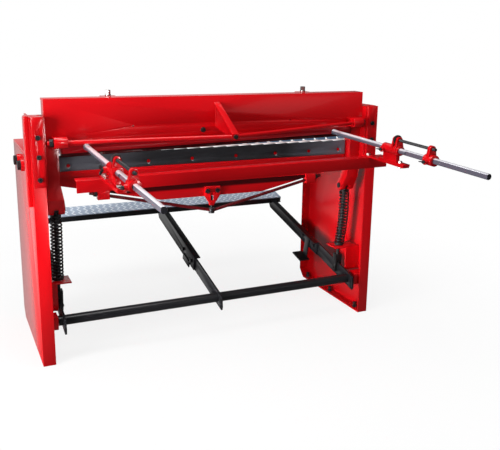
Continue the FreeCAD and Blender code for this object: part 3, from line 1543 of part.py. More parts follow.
# Tread: an angle frame in the notches at the arms' ends, and the plate on it
TREAD_BACK = "0"
TREAD_FRONT = "(-tread_depth)"
RIM = both_ways("tread_half_width")
rim_bars = [
    box("rim_back", RIM, ("-tread_bar", TREAD_BACK), ("0", "tread_band")),
    box("rim_front", RIM, (TREAD_FRONT, TREAD_FRONT + " + tread_bar"), ("0", "tread_band")),
]
for word, side in SIDES:
    x = across(side, "tread_half_width - tread_bar", "tread_half_width")
    rim_bars.append(box("rim_" + word, x, (TREAD_FRONT, TREAD_BACK), ("0", "tread_band")))
for word, middle in ARMS:
    rim_bars.append(
        box("rim_rib_" + word, about(middle, "angle_flange"), (TREAD_FRONT, TREAD_BACK), ("0", "tread_bar"))
    )
node("tread_frame", [fuse("tread_rim", rim_bars)], TREAD)
node(
    "tread_plate",
    [box("tread_sheet", RIM, (TREAD_FRONT, TREAD_BACK), ("tread_band", "tread_band + tread_plate_thick"))],
    TREAD,
)


# Links: rods that hang in the beam's bosses, with clevises on the treadle arms
def link(word, side):
    """One link rod with its swivel pin and the seat that the return spring bears on."""
    inner = "%d * (%s - boss_length - arm_taper / 2 - bracket_thick / 2 - link_x)" % (side, BEAM_HALF)
    outer = "%d * (%s - link_x)" % (side, BEAM_HALF)
    pair = (inner, outer) if side > 0 else (outer, inner)
    pin = rod("link_pin_" + word, "X", (pair[0], "0", "0"), "swivel_pin", span(*pair))
    shaft = rod(
        "link_shaft_" + word,
        "Z",
        ("0", "0", "-(%s - clevis_top)" % LINK_LENGTH),
        "link_rod",
        "%s - clevis_top" % LINK_LENGTH,
    )
    seat_low = "-spring_seat_drop - spring_seat_thick"
    seat = rod("link_seat_" + word, "Z", ("0", "0", seat_low), "spring_seat", "spring_seat_thick")
    return node("link_" + word, [fuse("link_bar_" + word, [pin, shaft, seat])], link_frame(side))


def clevis(word, side):
    """One fork that straddles the treadle arm, and its pin."""
    foot = "-" + LINK_LENGTH
    block_z = (foot + " - clevis_foot", foot + " + clevis_top")
    block = box("clevis_block_" + word, both_ways("clevis_width / 2"), both_ways("clevis_depth / 2"), block_z)
    slot_z = (foot + " - clevis_foot", foot + " + clevis_slot_top")
    slot = box("clevis_gap_" + word, both_ways("clevis_slot / 2"), both_ways("clevis_depth / 2"), slot_z)
    bore = rod(
        "clevis_bore_" + word,
        "X",
        ("-clevis_width / 2", "0", foot),
        "clevis_pin + 2 * hole_clearance",
        "clevis_width",
    )
    pin = rod(
        "clevis_pin_" + word, "X", ("-clevis_pin_length / 2", "0", foot), "clevis_pin", "clevis_pin_length"
    )
    return node("clevis_" + word, [cut("clevis_fork_" + word, block, [slot, bore]), pin], link_frame(side))


for word, side in SIDES:
    link(word, side)
for word, side in SIDES:
    clevis(word, side)


# Back gauge: slider castings
def slider(word, side):
    """One casting: a sleeve on the rod, two ears for the wheel, a web and a foot on the strap."""
    x = "%d * gauge_rod_x" % side
    name = "slider_" + word
    sleeve = rod(name + "_sleeve", "Y", (x, "slider_sleeve_start", "0"), "slider_sleeve", "slider_sleeve_length")
    web_y = ("slider_sleeve_start", "foot_bolt_y - gauge_bolt_head")
    web = box(name + "_web", about(x, "slider_web / 2"), web_y, (STRAP_TOP, "0"))
    foot_z = (STRAP_TOP, STRAP_TOP + " + slider_foot_thick")
    foot_y = ("slider_start", "slider_start + slider_length")
    foot = box(name + "_foot", about(x, "slider_foot_width / 2"), foot_y, foot_z)
    parts = [sleeve, web, foot]
    for label, turn in (("front", "-1"), ("rear", "1")):
        middle = "wheel_y + %s * (wheel_thick / 2 + wheel_side_gap + ear_thick / 2)" % turn
        low = "%s - ear_thick / 2" % middle
        parts.append(ear("%s_ear_%s" % (name, label), x, about(middle, "ear_thick / 2")))
        parts.append(
            rod("%s_ear_top_%s" % (name, label), "Y", (x, low, "wheel_lift"), "ear_width", "ear_thick")
        )
    lug_at = (x, "slider_screw_y", "-wing_screw_drop")
    parts.append(rod(name + "_lug", "X", lug_at, "screw_lug", "screw_lug_reach"))
    tools = [
        rod(
            name + "_bore",
            "Y",
            (x, "slider_sleeve_start - slider_web", "0"),
            "gauge_rod + 2 * running_fit",
            "2 * slider_sleeve_length",
        ),
        rod(
            name + "_spindle_bore",
            "Y",
            (x, "slider_start", "wheel_lift"),
            "spindle + 2 * running_fit",
            "slider_length",
        ),
        rod(name + "_tap", "X", lug_at, "wing_screw + 2 * running_fit", "screw_lug_reach"),
        foot_hole(name, x),
    ]
    return node(name, [cut(name + "_bored", fuse(name + "_cast", parts), tools)], GAUGE)


def foot_hole(name, x):
    """The room of the bolt through a slider's foot and strap."""
    at = (x, "foot_bolt_y", STRAP_UNDER)
    return rod(name + "_foot_hole", "Z", at, "gauge_bolt + hole_clearance", "strap_thick + slider_foot_thick")


def wing(name, x, y, turned):
    """One wing screw: shank, hub and two wings, upright or turned a quarter."""
    start = x + " + gauge_rod / 2 + seat_clearance"
    hub_x = x + " + screw_lug_reach + seat_clearance"
    z = "-wing_screw_drop"
    shank = rod(name + "_shank", "X", (start, y, z), "wing_screw", span(start, hub_x))
    hub = rod(name + "_hub", "X", (hub_x, y, z), "wing_hub", "wing_hub_length")
    wings_x = (hub_x + " + wing_hub_length / 2", hub_x + " + wing_hub_length / 2 + wing_length")
    wide = ("wing_span / 2", "wing_thick / 2")
    half_y, half_z = wide if turned else wide[::-1]
    blade = box(name + "_wings", wings_x, about(y, half_y), about(z, half_z))
    return node(name, [fuse(name + "_whole", [shank, hub, blade])], GAUGE)


def clamp_collar(word, side):
    """One rear clamp collar with the threaded ear of the spindle and a lug for its wing screw."""
    x = "%d * gauge_rod_x" % side
    name = "collar_" + word
    middle = "collar_start + collar_length / 2"
    ring = rod(name + "_ring", "Y", (x, "collar_start", "0"), "collar_width", "collar_length")
    ear_y = about(middle, "collar_ear_thick / 2")
    web = ear(name + "_ear", x, ear_y)
    top = rod(name + "_ear_top", "Y", (x, ear_y[0], "wheel_lift"), "ear_width", "collar_ear_thick")
    lug_at = (x, middle, "-wing_screw_drop")
    lug = rod(name + "_lug", "X", lug_at, "screw_lug", "screw_lug_reach")
    tools = [
        rod(
            name + "_bore",
            "Y",
            (x, "collar_start - collar_length", "0"),
            "gauge_rod + 2 * running_fit",
            "3 * collar_length",
        ),
        rod(
            name + "_thread",
            "Y",
            (x, "collar_start", "wheel_lift"),
            "spindle + 2 * running_fit",
            "collar_length",
        ),
        rod(name + "_tap", "X", lug_at, "wing_screw + 2 * running_fit", "screw_lug_reach"),
    ]
    return node(name, [cut(name + "_bored", fuse(name + "_cast", [ring, web, top, lug]), tools)], GAUGE)


def gauge_wheel(word, side):
    """One knurled wheel fixed on its threaded spindle."""
    x = "%d * gauge_rod_x" % side
    name = "wheel_" + word
    disc = rod(
        name + "_disc", "Y", (x, "wheel_y - wheel_thick / 2", "wheel_lift"), "wheel_width", "wheel_thick"
    )
    start = "wheel_y - wheel_thick / 2 - ear_thick"
    spindle = rod(name + "_spindle", "Y", (x, start, "wheel_lift"), "spindle", "spindle_reach")
    return node(name, [fuse(name + "_whole", [disc, spindle])], GAUGE)


for word, side in SIDES:
    slider(word, side)
for word, side in SIDES:
    clamp_collar(word, side)
for word, side in SIDES:
    gauge_wheel(word, side)
for word, side in SIDES:
    x = "%d * gauge_rod_x" % side
    wing("slider_screw_" + word, x, "slider_screw_y", side < 0)
    wing("collar_screw_" + word, x, "(collar_start + collar_length / 2)", True)


# Gauge bar, the straps that carry it and their bolts
def gauge_bar():
    """The angle that the sheet's edge meets, drilled for the strap bolts."""
    body = add("PartDesign::Body", "gauge_bar")
    top = STRAP_UNDER
    section = [
        ("strap_start", top),
        ("strap_start + gauge_angle", top),
        ("strap_start + gauge_angle", top + " - gauge_angle"),
        ("strap_start + gauge_angle - gauge_angle_thick", top + " - gauge_angle"),
        ("strap_start + gauge_angle - gauge_angle_thick", top + " - gauge_angle_thick"),
        ("strap_start", top + " - gauge_angle_thick"),
    ]
    pad(body, "gauge_bar_pad", "YZ", section, *about("gauge_bar_shift", "gauge_bar_length / 2"))
    holes = [("%d * gauge_rod_x" % side, "bar_bolt_y", "gauge_bolt + hole_clearance") for word, side in SIDES]
    rounds(body, "gauge_bar_holes", "XY", holes, top + " - gauge_angle_thick", top)
    return body_node(body, GAUGE)


gauge_bar()


def gauge_strap(word, side):
    """One flat strap from the gauge bar back under the slider's foot."""
    x = "%d * gauge_rod_x" % side
    plate = box(
        "strap_bar_" + word,
        about(x, "strap_width / 2"),
        ("strap_start", "foot_bolt_y + strap_end"),
        (STRAP_UNDER, STRAP_TOP),
    )
    tools = []
    for y in ("bar_bolt_y", "foot_bolt_y"):
        at = (x, y, STRAP_UNDER)
        tools.append(rod("strap_hole_%s_%s" % (word, y), "Z", at, "gauge_bolt + hole_clearance", "strap_thick"))
    return cut("gauge_strap_" + word, plate, tools)


node("gauge_straps", [gauge_strap(word, side) for word, side in SIDES], GAUGE)


def gauge_bolt(name, x, y, low, high):
    """One bolt between two heights, with a head above and a nut below."""
    shank = rod(name + "_shank", "Z", (x, y, low), "gauge_bolt", span(low, high))
    head = hexagon(name + "_head", "Z", (x, y, high), "gauge_bolt_head / 2", "gauge_bolt_head_height")
    nut_low = "%s - gauge_bolt_head_height" % low
    nut = hexagon(name + "_nut", "Z", (x, y, nut_low), "gauge_bolt_head / 2", "gauge_bolt_head_height")
    return fuse(name, [shank, head, nut])


gauge_bolts = []
for word, side in SIDES:
    x = "%d * gauge_rod_x" % side
    gauge_bolts.append(
        gauge_bolt("bar_bolt_" + word, x, "bar_bolt_y", STRAP_UNDER + " - gauge_angle_thick", STRAP_TOP)
    )
    foot_top = STRAP_TOP + " + slider_foot_thick"
    gauge_bolts.append(gauge_bolt("foot_bolt_" + word, x, "foot_bolt_y", STRAP_UNDER, foot_top))
node("gauge_bolts", gauge_bolts, GAUGE)

# Check every object and write each node to its own file
document.recompute()
for thing in document.Objects:
    if "Invalid" in thing.State or "Error" in thing.State:
        raise RuntimeError("%s is %s" % (thing.Label, thing.State))
for thing in document.Objects:
    if thing.TypeId == "PartDesign::Pocket" and thing.BaseFeature.Shape.Volume - thing.Shape.Volume < 1:
        raise RuntimeError("%s cuts nothing" % thing.Label)
os.makedirs("parts", exist_ok=True)
for whole in nodes:
    if whole.Shape.isNull() or not whole.Shape.isValid():
        raise RuntimeError("%s has no valid shape" % whole.Label)
for whole in nodes:
    whole.Shape.exportStep(os.path.join("parts", whole.Label + ".step"))
print("%d nodes written" % len(nodes))
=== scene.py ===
# %% [markdown]
# # A foot-operated guillotine shear, seen from behind
# The shear cuts sheet metal. Two folded sheet legs carry a table and a fixed lower blade, and a heavy beam
# with a raked upper blade slides between them when the treadle is pressed. The measured solids come in as a
# frame that is never moved. Everything below dresses that frame: rounded edges, cast and knurled shapes,
# paint and steel.

# %% The frame and its box
import json
import bpy
import bmesh
import numpy as np
from mathutils import Matrix, Vector


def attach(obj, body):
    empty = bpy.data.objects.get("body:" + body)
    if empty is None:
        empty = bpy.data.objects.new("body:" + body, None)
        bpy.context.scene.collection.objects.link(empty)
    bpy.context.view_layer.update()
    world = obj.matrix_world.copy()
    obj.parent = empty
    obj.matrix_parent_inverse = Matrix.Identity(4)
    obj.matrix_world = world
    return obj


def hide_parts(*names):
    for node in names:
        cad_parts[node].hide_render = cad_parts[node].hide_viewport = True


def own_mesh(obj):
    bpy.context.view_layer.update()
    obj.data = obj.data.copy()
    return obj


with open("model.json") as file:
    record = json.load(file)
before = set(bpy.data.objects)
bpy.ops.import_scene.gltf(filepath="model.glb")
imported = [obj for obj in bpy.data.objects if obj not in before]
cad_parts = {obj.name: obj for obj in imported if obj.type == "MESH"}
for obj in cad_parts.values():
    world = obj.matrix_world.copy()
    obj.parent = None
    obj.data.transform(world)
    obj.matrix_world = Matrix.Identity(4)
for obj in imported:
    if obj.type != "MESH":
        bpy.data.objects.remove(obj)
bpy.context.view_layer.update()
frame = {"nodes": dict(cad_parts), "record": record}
slot_of = {part["node"]: part["material_slot"] for part in frame["record"]["subparts"]}
body_of = {
    name: body for body, names in frame["record"]["behaviour"]["bodies"].items() for name in names
}
SIDES = ((1.0, "right"), (-1.0, "left"))
X, Y, Z = np.eye(3)

# %% [markdown]
# ## Camera
# A product shot is matched by its vanishing points. The legs, the table and the rods of the real shear gave
# the camera's place, the way it looks and its lens. The small shift stands for a picture that was cropped a
# little higher than the lens's middle. No depth of field is used, so every bolt stays sharp.

# %% The camera at the photograph's place
SENSOR_MM = 36.0
LENS_MM = 50.07
CROP_SHIFT = -0.0406
CAMERA_PLACE = (1.10077, 2.98744, 1.31925)
CAMERA_RIGHT = (-0.9102, 0.4138, 0.0152)
CAMERA_BACK = (0.4053, 0.8829, 0.2371)
camera_data = bpy.data.cameras.new("camera")
camera_data.sensor_width = SENSOR_MM
camera_data.lens = LENS_MM
camera_data.shift_y = CROP_SHIFT
camera = bpy.data.objects.new("camera", camera_data)
bpy.context.scene.collection.objects.link(camera)
camera_right = Vector(CAMERA_RIGHT).normalized()
camera_back = Vector(CAMERA_BACK).normalized()
camera_up = camera_back.cross(camera_right).normalized()
camera_turn = Matrix((camera_right, camera_up, camera_back)).transposed().to_4x4()
camera.matrix_world = Matrix.Translation(CAMERA_PLACE) @ camera_turn
bpy.context.scene.camera = camera
print("Camera at", CAMERA_PLACE, "with a lens of", LENS_MM, "mm")

# %% [markdown]
# ## A small kit for node trees
# The world, the floor and every finish are trees of nodes. Written node by node they are long and hard to
# read, so a few functions each add one node, feed its inputs and give back its output. An input takes either
# the output of another node, which becomes a link, or a plain value, which is set on the input itself.


# %% Numbers and masks
def feed(tree, amount, socket):
    """Link another node's output to an input, or set the input to a plain number or colour."""
    if hasattr(amount, "is_linked"):
        tree.links.new(amount, socket)
    else:
        socket.default_value = amount


def maths(tree, operation, *amounts):
    """The value of a Math node."""
    node = tree.nodes.new("ShaderNodeMath")
    node.operation = operation
    for amount, socket in zip(amounts, node.inputs):
        feed(tree, amount, socket)
    return node.outputs["Value"]


def product(tree, first, *others):
    """Masks multiplied: the result is one only where all of them are."""
    for other in others:
        first = maths(tree, "MULTIPLY", first, other)
    return first


def over(tree, amount, limit):
    """One where an amount is over a limit."""
    return maths(tree, "GREATER_THAN", amount, limit)


def under(tree, amount, limit):
    """One where an amount is under a limit."""
    return maths(tree, "LESS_THAN", amount, limit)


def ramp_between(tree, source, low, high, start, end, ease="LINEAR"):
    """A Map Range node that takes low..high to start..end."""
    node = tree.nodes.new("ShaderNodeMapRange")
    node.interpolation_type = ease
    labels = ("Value", "From Min", "From Max", "To Min", "To Max")
    for label, amount in zip(labels, (source, low, high, start, end)):
        feed(tree, amount, node.inputs[label])
    return node.outputs["Result"]


def split(tree, vector):
    """The X, Y and Z of a vector, by name."""
    node = tree.nodes.new("ShaderNodeSeparateXYZ")
    feed(tree, vector, node.inputs["Vector"])
    return node.outputs


# %% Colours, noise and bumps
BLACK = (0.0, 0.0, 0.0, 1.0)
GREY = (0.5, 0.5, 0.5, 1.0)
WHITE = (1.0, 1.0, 1.0, 1.0)


def mixed(tree, mask, first, second):
    """A colour that goes from first to second as the mask goes from zero to one."""
    node = tree.nodes.new("ShaderNodeMix")
    node.data_type = "RGBA"
    for label, amount in (("Factor", mask), ("A", first), ("B", second)):
        feed(tree, amount, node.inputs[label])
    return node.outputs["Result"]


def noise(tree, vector, scale, detail):
    """The value of a noise texture."""
    node = tree.nodes.new("ShaderNodeTexNoise")
    for label, amount in (("Vector", vector), ("Scale", scale), ("Detail", detail)):
        feed(tree, amount, node.inputs[label])
    return node.outputs["Fac"]


def bumped(tree, height, depth, distance):
    """The normal of a surface that is raised by a height, scaled by a depth from 0 to 1."""
    node = tree.nodes.new("ShaderNodeBump")
    for label, amount in (("Height", height), ("Strength", depth), ("Distance", distance)):
        feed(tree, amount, node.inputs[label])
    return node.outputs["Normal"]


# %% [markdown]
# ## Light
# In the photograph the faces that look to the camera's left are bright, the rear faces fall off toward the
# right, and everything under the beam is deep. One large soft panel stands near the machine on that side, a
# wide one hangs above, and a weak one fills from the right. The camera sees a pure white world, but gloss
# paint would turn pink if it mirrored that white, so the world is dim for mirrored rays and softer for
# scattered ones. Only the wall in front of the shear, toward -Y, stays bright for mirrored rays, so that
# faces seen at a low angle glare as in the photograph.

# %% A white world that lights softly
world = bpy.data.worlds.new("pale_studio")
world.use_nodes = True
sky = world.node_tree
sky_light = sky.nodes["Background"].inputs
sky_light["Color"].default_value = WHITE
ray = sky.nodes.new("ShaderNodeLightPath").outputs
toward = split(sky, sky.nodes.new("ShaderNodeTexCoord").outputs["Generated"])
scattered = ramp_between(sky, toward["Z"], -0.6, 0.8, 0.04, 0.34)
mirrored = ramp_between(sky, toward["Y"], -0.80, -0.93, 0.04, 0.60)
dimmed = ramp_between(sky, ray["Is Glossy Ray"], 0.0, 1.0, scattered, mirrored)
feed(sky, maths(sky, "MAXIMUM", ray["Is Camera Ray"], dimmed), sky_light["Strength"])
bpy.context.scene.world = world
bpy.context.scene.view_settings.view_transform = "Standard"
print("World made:", world.name)


# %% Soft panels
def soft_panel(name, place, target, width, height, watts, spread=180):
    """A rectangular light that faces a target, sizes in metres, spread in degrees."""
    data = bpy.data.lights.new(name, "AREA")
    data.shape = "RECTANGLE"
    data.size = width
    data.size_y = height
    data.energy = watts
    data.spread = np.radians(spread)
    lamp = bpy.data.objects.new(name, data)
    bpy.context.scene.collection.objects.link(lamp)
    away = (Vector(place) - Vector(target)).normalized()
    turn = away.to_track_quat("Z", "Y").to_matrix().to_4x4()
    lamp.matrix_world = Matrix.Translation(place) @ turn
    print("Light:", name, watts, "W")


soft_panel("panel_left_of_camera", (3.3, 1.45, 0.95), (0.0, 0.2, 0.55), 1.5, 1.9, 138)
soft_panel("panel_above", (0.4, 0.5, 3.0), (0.0, 0.2, 0.8), 2.4, 1.0, 55)
soft_panel("panel_right_of_camera", (-1.6, 3.4, 1.8), (0.0, 0.2, 0.6), 1.4, 1.6, 4)
soft_panel("panel_on_link_arm", (0.15, 2.3, 1.05), (0.68, 0.24, 0.72), 0.5, 0.5, 0.22, spread=14)
soft_panel("panel_on_inner_leg", (2.0, 0.74, 0.42), (-0.77, -0.04, 0.42), 0.4, 0.5, 2.2, spread=30)

# %% [markdown]
# ## Floor
# The floor is plain and pale, and it fades into the white world. A faint shadow stays where the feet stand.

# %% A plain pale floor that fades out
FLOOR_HALF = 4.0
corners = [(-1, -1), (1, -1), (1, 1), (-1, 1)]
floor_mesh = bpy.data.meshes.new("floor")
floor_mesh.from_pydata([(x * FLOOR_HALF, y * FLOOR_HALF, 0.0) for x, y in corners], [], [(0, 1, 2, 3)])
floor = bpy.data.objects.new("floor", floor_mesh)
bpy.context.scene.collection.objects.link(floor)
floor_paint = bpy.data.materials.new("pale_floor")
floor_paint.use_nodes = True
floor_tree = floor_paint.node_tree
floor_shader = floor_tree.nodes["Principled BSDF"].inputs
floor_shader["Base Color"].default_value = (0.95, 0.95, 0.95, 1.0)
floor_shader["Roughness"].default_value = 0.9
from_middle = floor_tree.nodes.new("ShaderNodeVectorMath")
from_middle.operation = "LENGTH"
feed(floor_tree, floor_tree.nodes.new("ShaderNodeTexCoord").outputs["Object"], from_middle.inputs[0])
cover = ramp_between(floor_tree, from_middle.outputs["Value"], 0.5, 2.2, 0.16, 0.0, ease="SMOOTHSTEP")
feed(floor_tree, cover, floor_shader["Alpha"])
floor_mesh.materials.append(floor_paint)
print("Floor laid, metres across:", 2 * FLOOR_HALF)

# %% [markdown]
# ## Paint and steel
# Every finish starts from object coordinates, because each piece keeps its place in its mesh. Sprayed enamel
# has a fine skin that breaks the highlights, a tone that drifts a little over a large sheet, and dust in
# places. One group makes these for all painted pieces, and another makes the drawn or ground grain of bare
# steel.

# %% A group of nodes with named inputs
KINDS = {1: "NodeSocketFloat", 3: "NodeSocketVector", 4: "NodeSocketColor"}


def new_group(name, settings):
    """A shader node group with an input for each setting; it puts out a colour, a roughness and a normal."""
    group = bpy.data.node_groups.new(name, "ShaderNodeTree")
    for label, default in {"Vector": (0.0, 0.0, 0.0), **settings}.items():
        kind = KINDS[np.size(default)]
        group.interface.new_socket(name=label, in_out="INPUT", socket_type=kind).default_value = default
    for label, size in (("Colour", 4), ("Roughness", 1), ("Normal", 3)):
        group.interface.new_socket(name=label, in_out="OUTPUT", socket_type=KINDS[size])
    return group, group.nodes.new("NodeGroupInput").outputs, group.nodes.new("NodeGroupOutput").inputs


# %% Sprayed enamel
enamel, enamel_in, enamel_out = new_group("sprayed_enamel", {
    "Colour": GREY,
    "Drift": GREY,
    "Dust": GREY,
    "Skin scale": 220.0,
    "Skin depth": 0.1,
    "Smooth": 0.2,
})
clouds = ramp_between(enamel, noise(enamel, enamel_in["Vector"], 3.0, 4.0), 0.35, 0.7, 0.0, 1.0)
drifting = mixed(enamel, clouds, enamel_in["Colour"], enamel_in["Drift"])
specks = noise(enamel, enamel_in["Vector"], 90.0, 5.0)
dusty = mixed(enamel, ramp_between(enamel, specks, 0.62, 0.78, 0.0, 0.12), drifting, enamel_in["Dust"])
skin = noise(enamel, enamel_in["Vector"], enamel_in["Skin scale"], 2.0)
feed(enamel, dusty, enamel_out["Colour"])
feed(enamel, maths(enamel, "MULTIPLY_ADD", specks, 0.05, enamel_in["Smooth"]), enamel_out["Roughness"])
feed(enamel, bumped(enamel, skin, enamel_in["Skin depth"], 0.0004), enamel_out["Normal"])
print("Group made:", enamel.name)

# %% Ground and drawn steel
grain, grain_in, grain_out = new_group("steel_grain", {
    "Colour": GREY,
    "Stain": GREY,
    "Stretch": (1.0, 1.0, 1.0),
    "Stain amount": 0.4,
    "Grain depth": 0.1,
    "Smooth": 0.25,
})
stretched = grain.nodes.new("ShaderNodeVectorMath")
stretched.operation = "MULTIPLY"
feed(grain, grain_in["Vector"], stretched.inputs[0])
feed(grain, grain_in["Stretch"], stretched.inputs[1])
lines = noise(grain, stretched.outputs["Vector"], 60.0, 6.0)
blots = ramp_between(grain, noise(grain, grain_in["Vector"], 14.0, 5.0), 0.4, 0.75, 0.0, 1.0)
stained = product(grain, blots, grain_in["Stain amount"])
feed(grain, mixed(grain, stained, grain_in["Colour"], grain_in["Stain"]), grain_out["Colour"])
feed(grain, maths(grain, "MULTIPLY_ADD", lines, 0.2, grain_in["Smooth"]), grain_out["Roughness"])
feed(grain, bumped(grain, lines, grain_in["Grain depth"], 0.0003), grain_out["Normal"])
print("Group made:", grain.name)

# %% [markdown]
# ## One material for each finish
# A material places one of the two groups and sets its values. What is the same all over a piece, such as the
# clear coat on enamel, is set on the shader's own input.


# %% A material from a group
def finish(name, group, settings, metallic=0.0, coat=0.0, shine=0.5):
    """A Principled material whose colour, roughness and normal come from a group on object coordinates."""
    material = bpy.data.materials.new(name)
    material.use_nodes = True
    tree = material.node_tree
    shader = tree.nodes["Principled BSDF"].inputs
    effect = tree.nodes.new("ShaderNodeGroup")
    effect.node_tree = group
    feed(tree, tree.nodes.new("ShaderNodeTexCoord").outputs["Object"], effect.inputs["Vector"])
    for label, setting in settings.items():
        effect.inputs[label].default_value = setting
    for label, output in (("Base Color", "Colour"), ("Roughness", "Roughness"), ("Normal", "Normal")):
        feed(tree, effect.outputs[output], shader[label])
    shader["Metallic"].default_value = metallic
    shader["Specular IOR Level"].default_value = shine
    shader["Coat Weight"].default_value = coat
    shader["Coat Roughness"].default_value = 0.05
    return material


# %% Painted finishes
red_enamel = finish("red_enamel", enamel, {
    "Colour": (0.60, 0.0025, 0.006, 1.0),
    "Drift": (0.54, 0.002, 0.005, 1.0),
    "Dust": (0.62, 0.03, 0.03, 1.0),
    "Skin scale": 260.0,
    "Skin depth": 0.05,
    "Smooth": 0.22,
}, coat=0.20, shine=0.30)
# A darker copy of the red enamel: painted shade for the truss rod under the bed.
painted_shade_red_enamel = finish("painted_shade_red_enamel", enamel, {
    "Colour": (0.120, 0.003, 0.006, 1.0),
    "Drift": (0.060, 0.003, 0.005, 1.0),
    "Dust": (0.20, 0.03, 0.03, 1.0),
    "Skin scale": 260.0,
    "Skin depth": 0.05,
    "Smooth": 0.30,
}, shine=0.25)
black_enamel = finish("black_enamel", enamel, {
    "Colour": (0.009, 0.009, 0.011, 1.0),
    "Drift": (0.014, 0.014, 0.016, 1.0),
    "Dust": (0.07, 0.07, 0.068, 1.0),
    "Skin scale": 300.0,
    "Skin depth": 0.12,
    "Smooth": 0.30,
}, coat=0.10, shine=0.35)
print("Painted finishes made:", enamel.users)

# %% Steel finishes
black_oxide = finish("black_oxide", grain, {
    "Colour": (0.025, 0.025, 0.028, 1.0),
    "Stain": (0.07, 0.06, 0.05, 1.0),
    "Stain amount": 0.35,
    "Grain depth": 0.2,
    "Smooth": 0.3,
}, metallic=0.6)
blade_steel = finish("blade_steel", grain, {
    "Colour": (0.055, 0.056, 0.064, 1.0),
    "Stain": (0.030, 0.029, 0.030, 1.0),
    "Stretch": (0.15, 6.0, 6.0),
    "Stain amount": 0.5,
    "Grain depth": 0.25,
    "Smooth": 0.22,
}, metallic=1.0)
polished_rod = finish("polished_rod", grain, {
    "Colour": (0.86, 0.85, 0.90, 1.0),
    "Stain": (0.55, 0.53, 0.60, 1.0),
    "Stretch": (6.0, 0.2, 6.0),
    "Stain amount": 0.35,
    "Grain depth": 0.08,
    "Smooth": 0.10,
}, metallic=0.35)
zinc_steel = finish("zinc_steel", grain, {
    "Colour": (0.55, 0.54, 0.52, 1.0),
    "Stain": (0.30, 0.26, 0.20, 1.0),
    "Stain amount": 0.5,
    "Grain depth": 0.2,
    "Smooth": 0.25,
}, metallic=1.0)
checker_steel = finish("checker_steel", grain, {
    "Colour": (0.44, 0.53, 0.66, 1.0),
    "Stain": (0.28, 0.35, 0.44, 1.0),
    "Stain amount": 0.5,
    "Grain depth": 0.15,
    "Smooth": 0.30,
}, metallic=0.10)
# Far paler than the plate: a painted highlight on the raised lozenges.
lozenge_highlight_steel = finish("lozenge_highlight_steel", grain, {
    "Colour": (0.86, 0.93, 1.00, 1.0),
    "Stain": (0.62, 0.70, 0.80, 1.0),
    "Stain amount": 0.4,
    "Grain depth": 0.05,
    "Smooth": 0.22,
}, metallic=0.10)
print("Steel finishes made:", grain.users)

# %% [markdown]
# ## Finishes that change over a piece
# Some faces differ from the rest of their piece by where they lie or which way they look. A mask on the
# object's own place and normal picks them out, and a second colour is laid over the finish there.


# %% Place, normal and a second colour
def surface_of(material):
    """A finish's tree, its shader's inputs, and the split place and normal of the point that is seen."""
    tree = material.node_tree
    group = next(node for node in tree.nodes if node.type == "GROUP")
    place = group.inputs["Vector"].links[0].from_socket
    normal = tree.nodes.new("ShaderNodeNewGeometry").outputs["Normal"]
    return tree, tree.nodes["Principled BSDF"].inputs, split(tree, place), split(tree, normal)


def overpaint(tree, shader, mask, colour):
    """Lay a second colour over a finish's own, where the mask is one."""
    feed(tree, mixed(tree, mask, shader["Base Color"].links[0].from_socket, colour), shader["Base Color"])


# %% Rods with a painted reflection: a bright top and grey sides
# The pale top and grey sides are a painted reflection, set by the way each face looks; the end is made dark.
tree, shader, at, facing = surface_of(polished_rod)
# Painted reflection: faces that look less up than the top turn grey.
overpaint(tree, shader, ramp_between(tree, facing["Z"], 0.30, 0.72, 1.0, 0.0), (0.16, 0.16, 0.21, 1.0))
# The end face, which looks along +Y, is given a dark colour.
overpaint(tree, shader, ramp_between(tree, facing["Y"], 0.90, 0.97, 0.0, 1.0), (0.035, 0.034, 0.042, 1.0))

# %% A blade with a painted reflection that grows toward its ends
# Colour = dark + (pale - dark) * max(rise toward -X, smaller rise toward +X), both smooth in the object's X.
ground_blade = finish("ground_blade", grain, {
    "Colour": (0.024, 0.024, 0.028, 1.0),
    "Stain": (0.014, 0.014, 0.016, 1.0),
    "Stretch": (0.15, 6.0, 6.0),
    "Stain amount": 0.5,
    "Grain depth": 0.25,
    "Smooth": 0.34,
}, shine=0.4)
blade_tree, blade_shader, blade_at, blade_facing = surface_of(ground_blade)
# The pale toward the ends is a painted reflection of the bright room.
left_painted_reflection = ramp_between(blade_tree, blade_at["X"], -0.34, -0.66, 0.0, 0.42)
right_painted_reflection = ramp_between(blade_tree, blade_at["X"], 0.30, 0.66, 0.0, 0.22)
painted_reflection_at_ends = maths(blade_tree, "MAXIMUM", left_painted_reflection, right_painted_reflection)
overpaint(blade_tree, blade_shader, painted_reflection_at_ends, (0.42, 0.42, 0.52, 1.0))
print("Finish made:", ground_blade.name)

# %% [markdown]
# ## What the throat shows
# From behind, one looks through the open throat at a low angle: along the lower blade's ground top, over the
# end of the table, and onto the hold-down's fingers. Bare steel mirrors the bright room in front of the shear
# there. A mirror of a room that isn't built would need a large bright wall, which would turn the paint pink,
# so these few faces glow with the light that they would mirror: a painted reflection, and painted light
# between the fingers.

# %% A painted reflection that glows
FACING_UP = 0.85
FINGER_PITCH = 0.060
NOTCH_WIDTH = 0.022
NOTCH_EDGE = 0.646


def glow_as_reflection(tree, shader, mask, colour, strength=1.0):
    """A painted reflection: the faces glow where the mask is one, with what bare steel would mirror."""
    feed(tree, mixed(tree, mask, BLACK, colour), shader["Emission Color"])
    shader["Emission Strength"].default_value = strength


def share_of_finger(tree, place, edge):
    """The share of a finger's pitch from the last notch's edge on +X: fract((edge - x) / pitch)."""
    steps = maths(tree, "DIVIDE", maths(tree, "SUBTRACT", edge, place["X"]), FINGER_PITCH)
    return maths(tree, "FRACT", steps)


def red_enamel_for(name):
    """A copy of the red enamel for one piece, and what surface_of gives for it."""
    material = red_enamel.copy()
    material.name = name
    return (material, *surface_of(material))
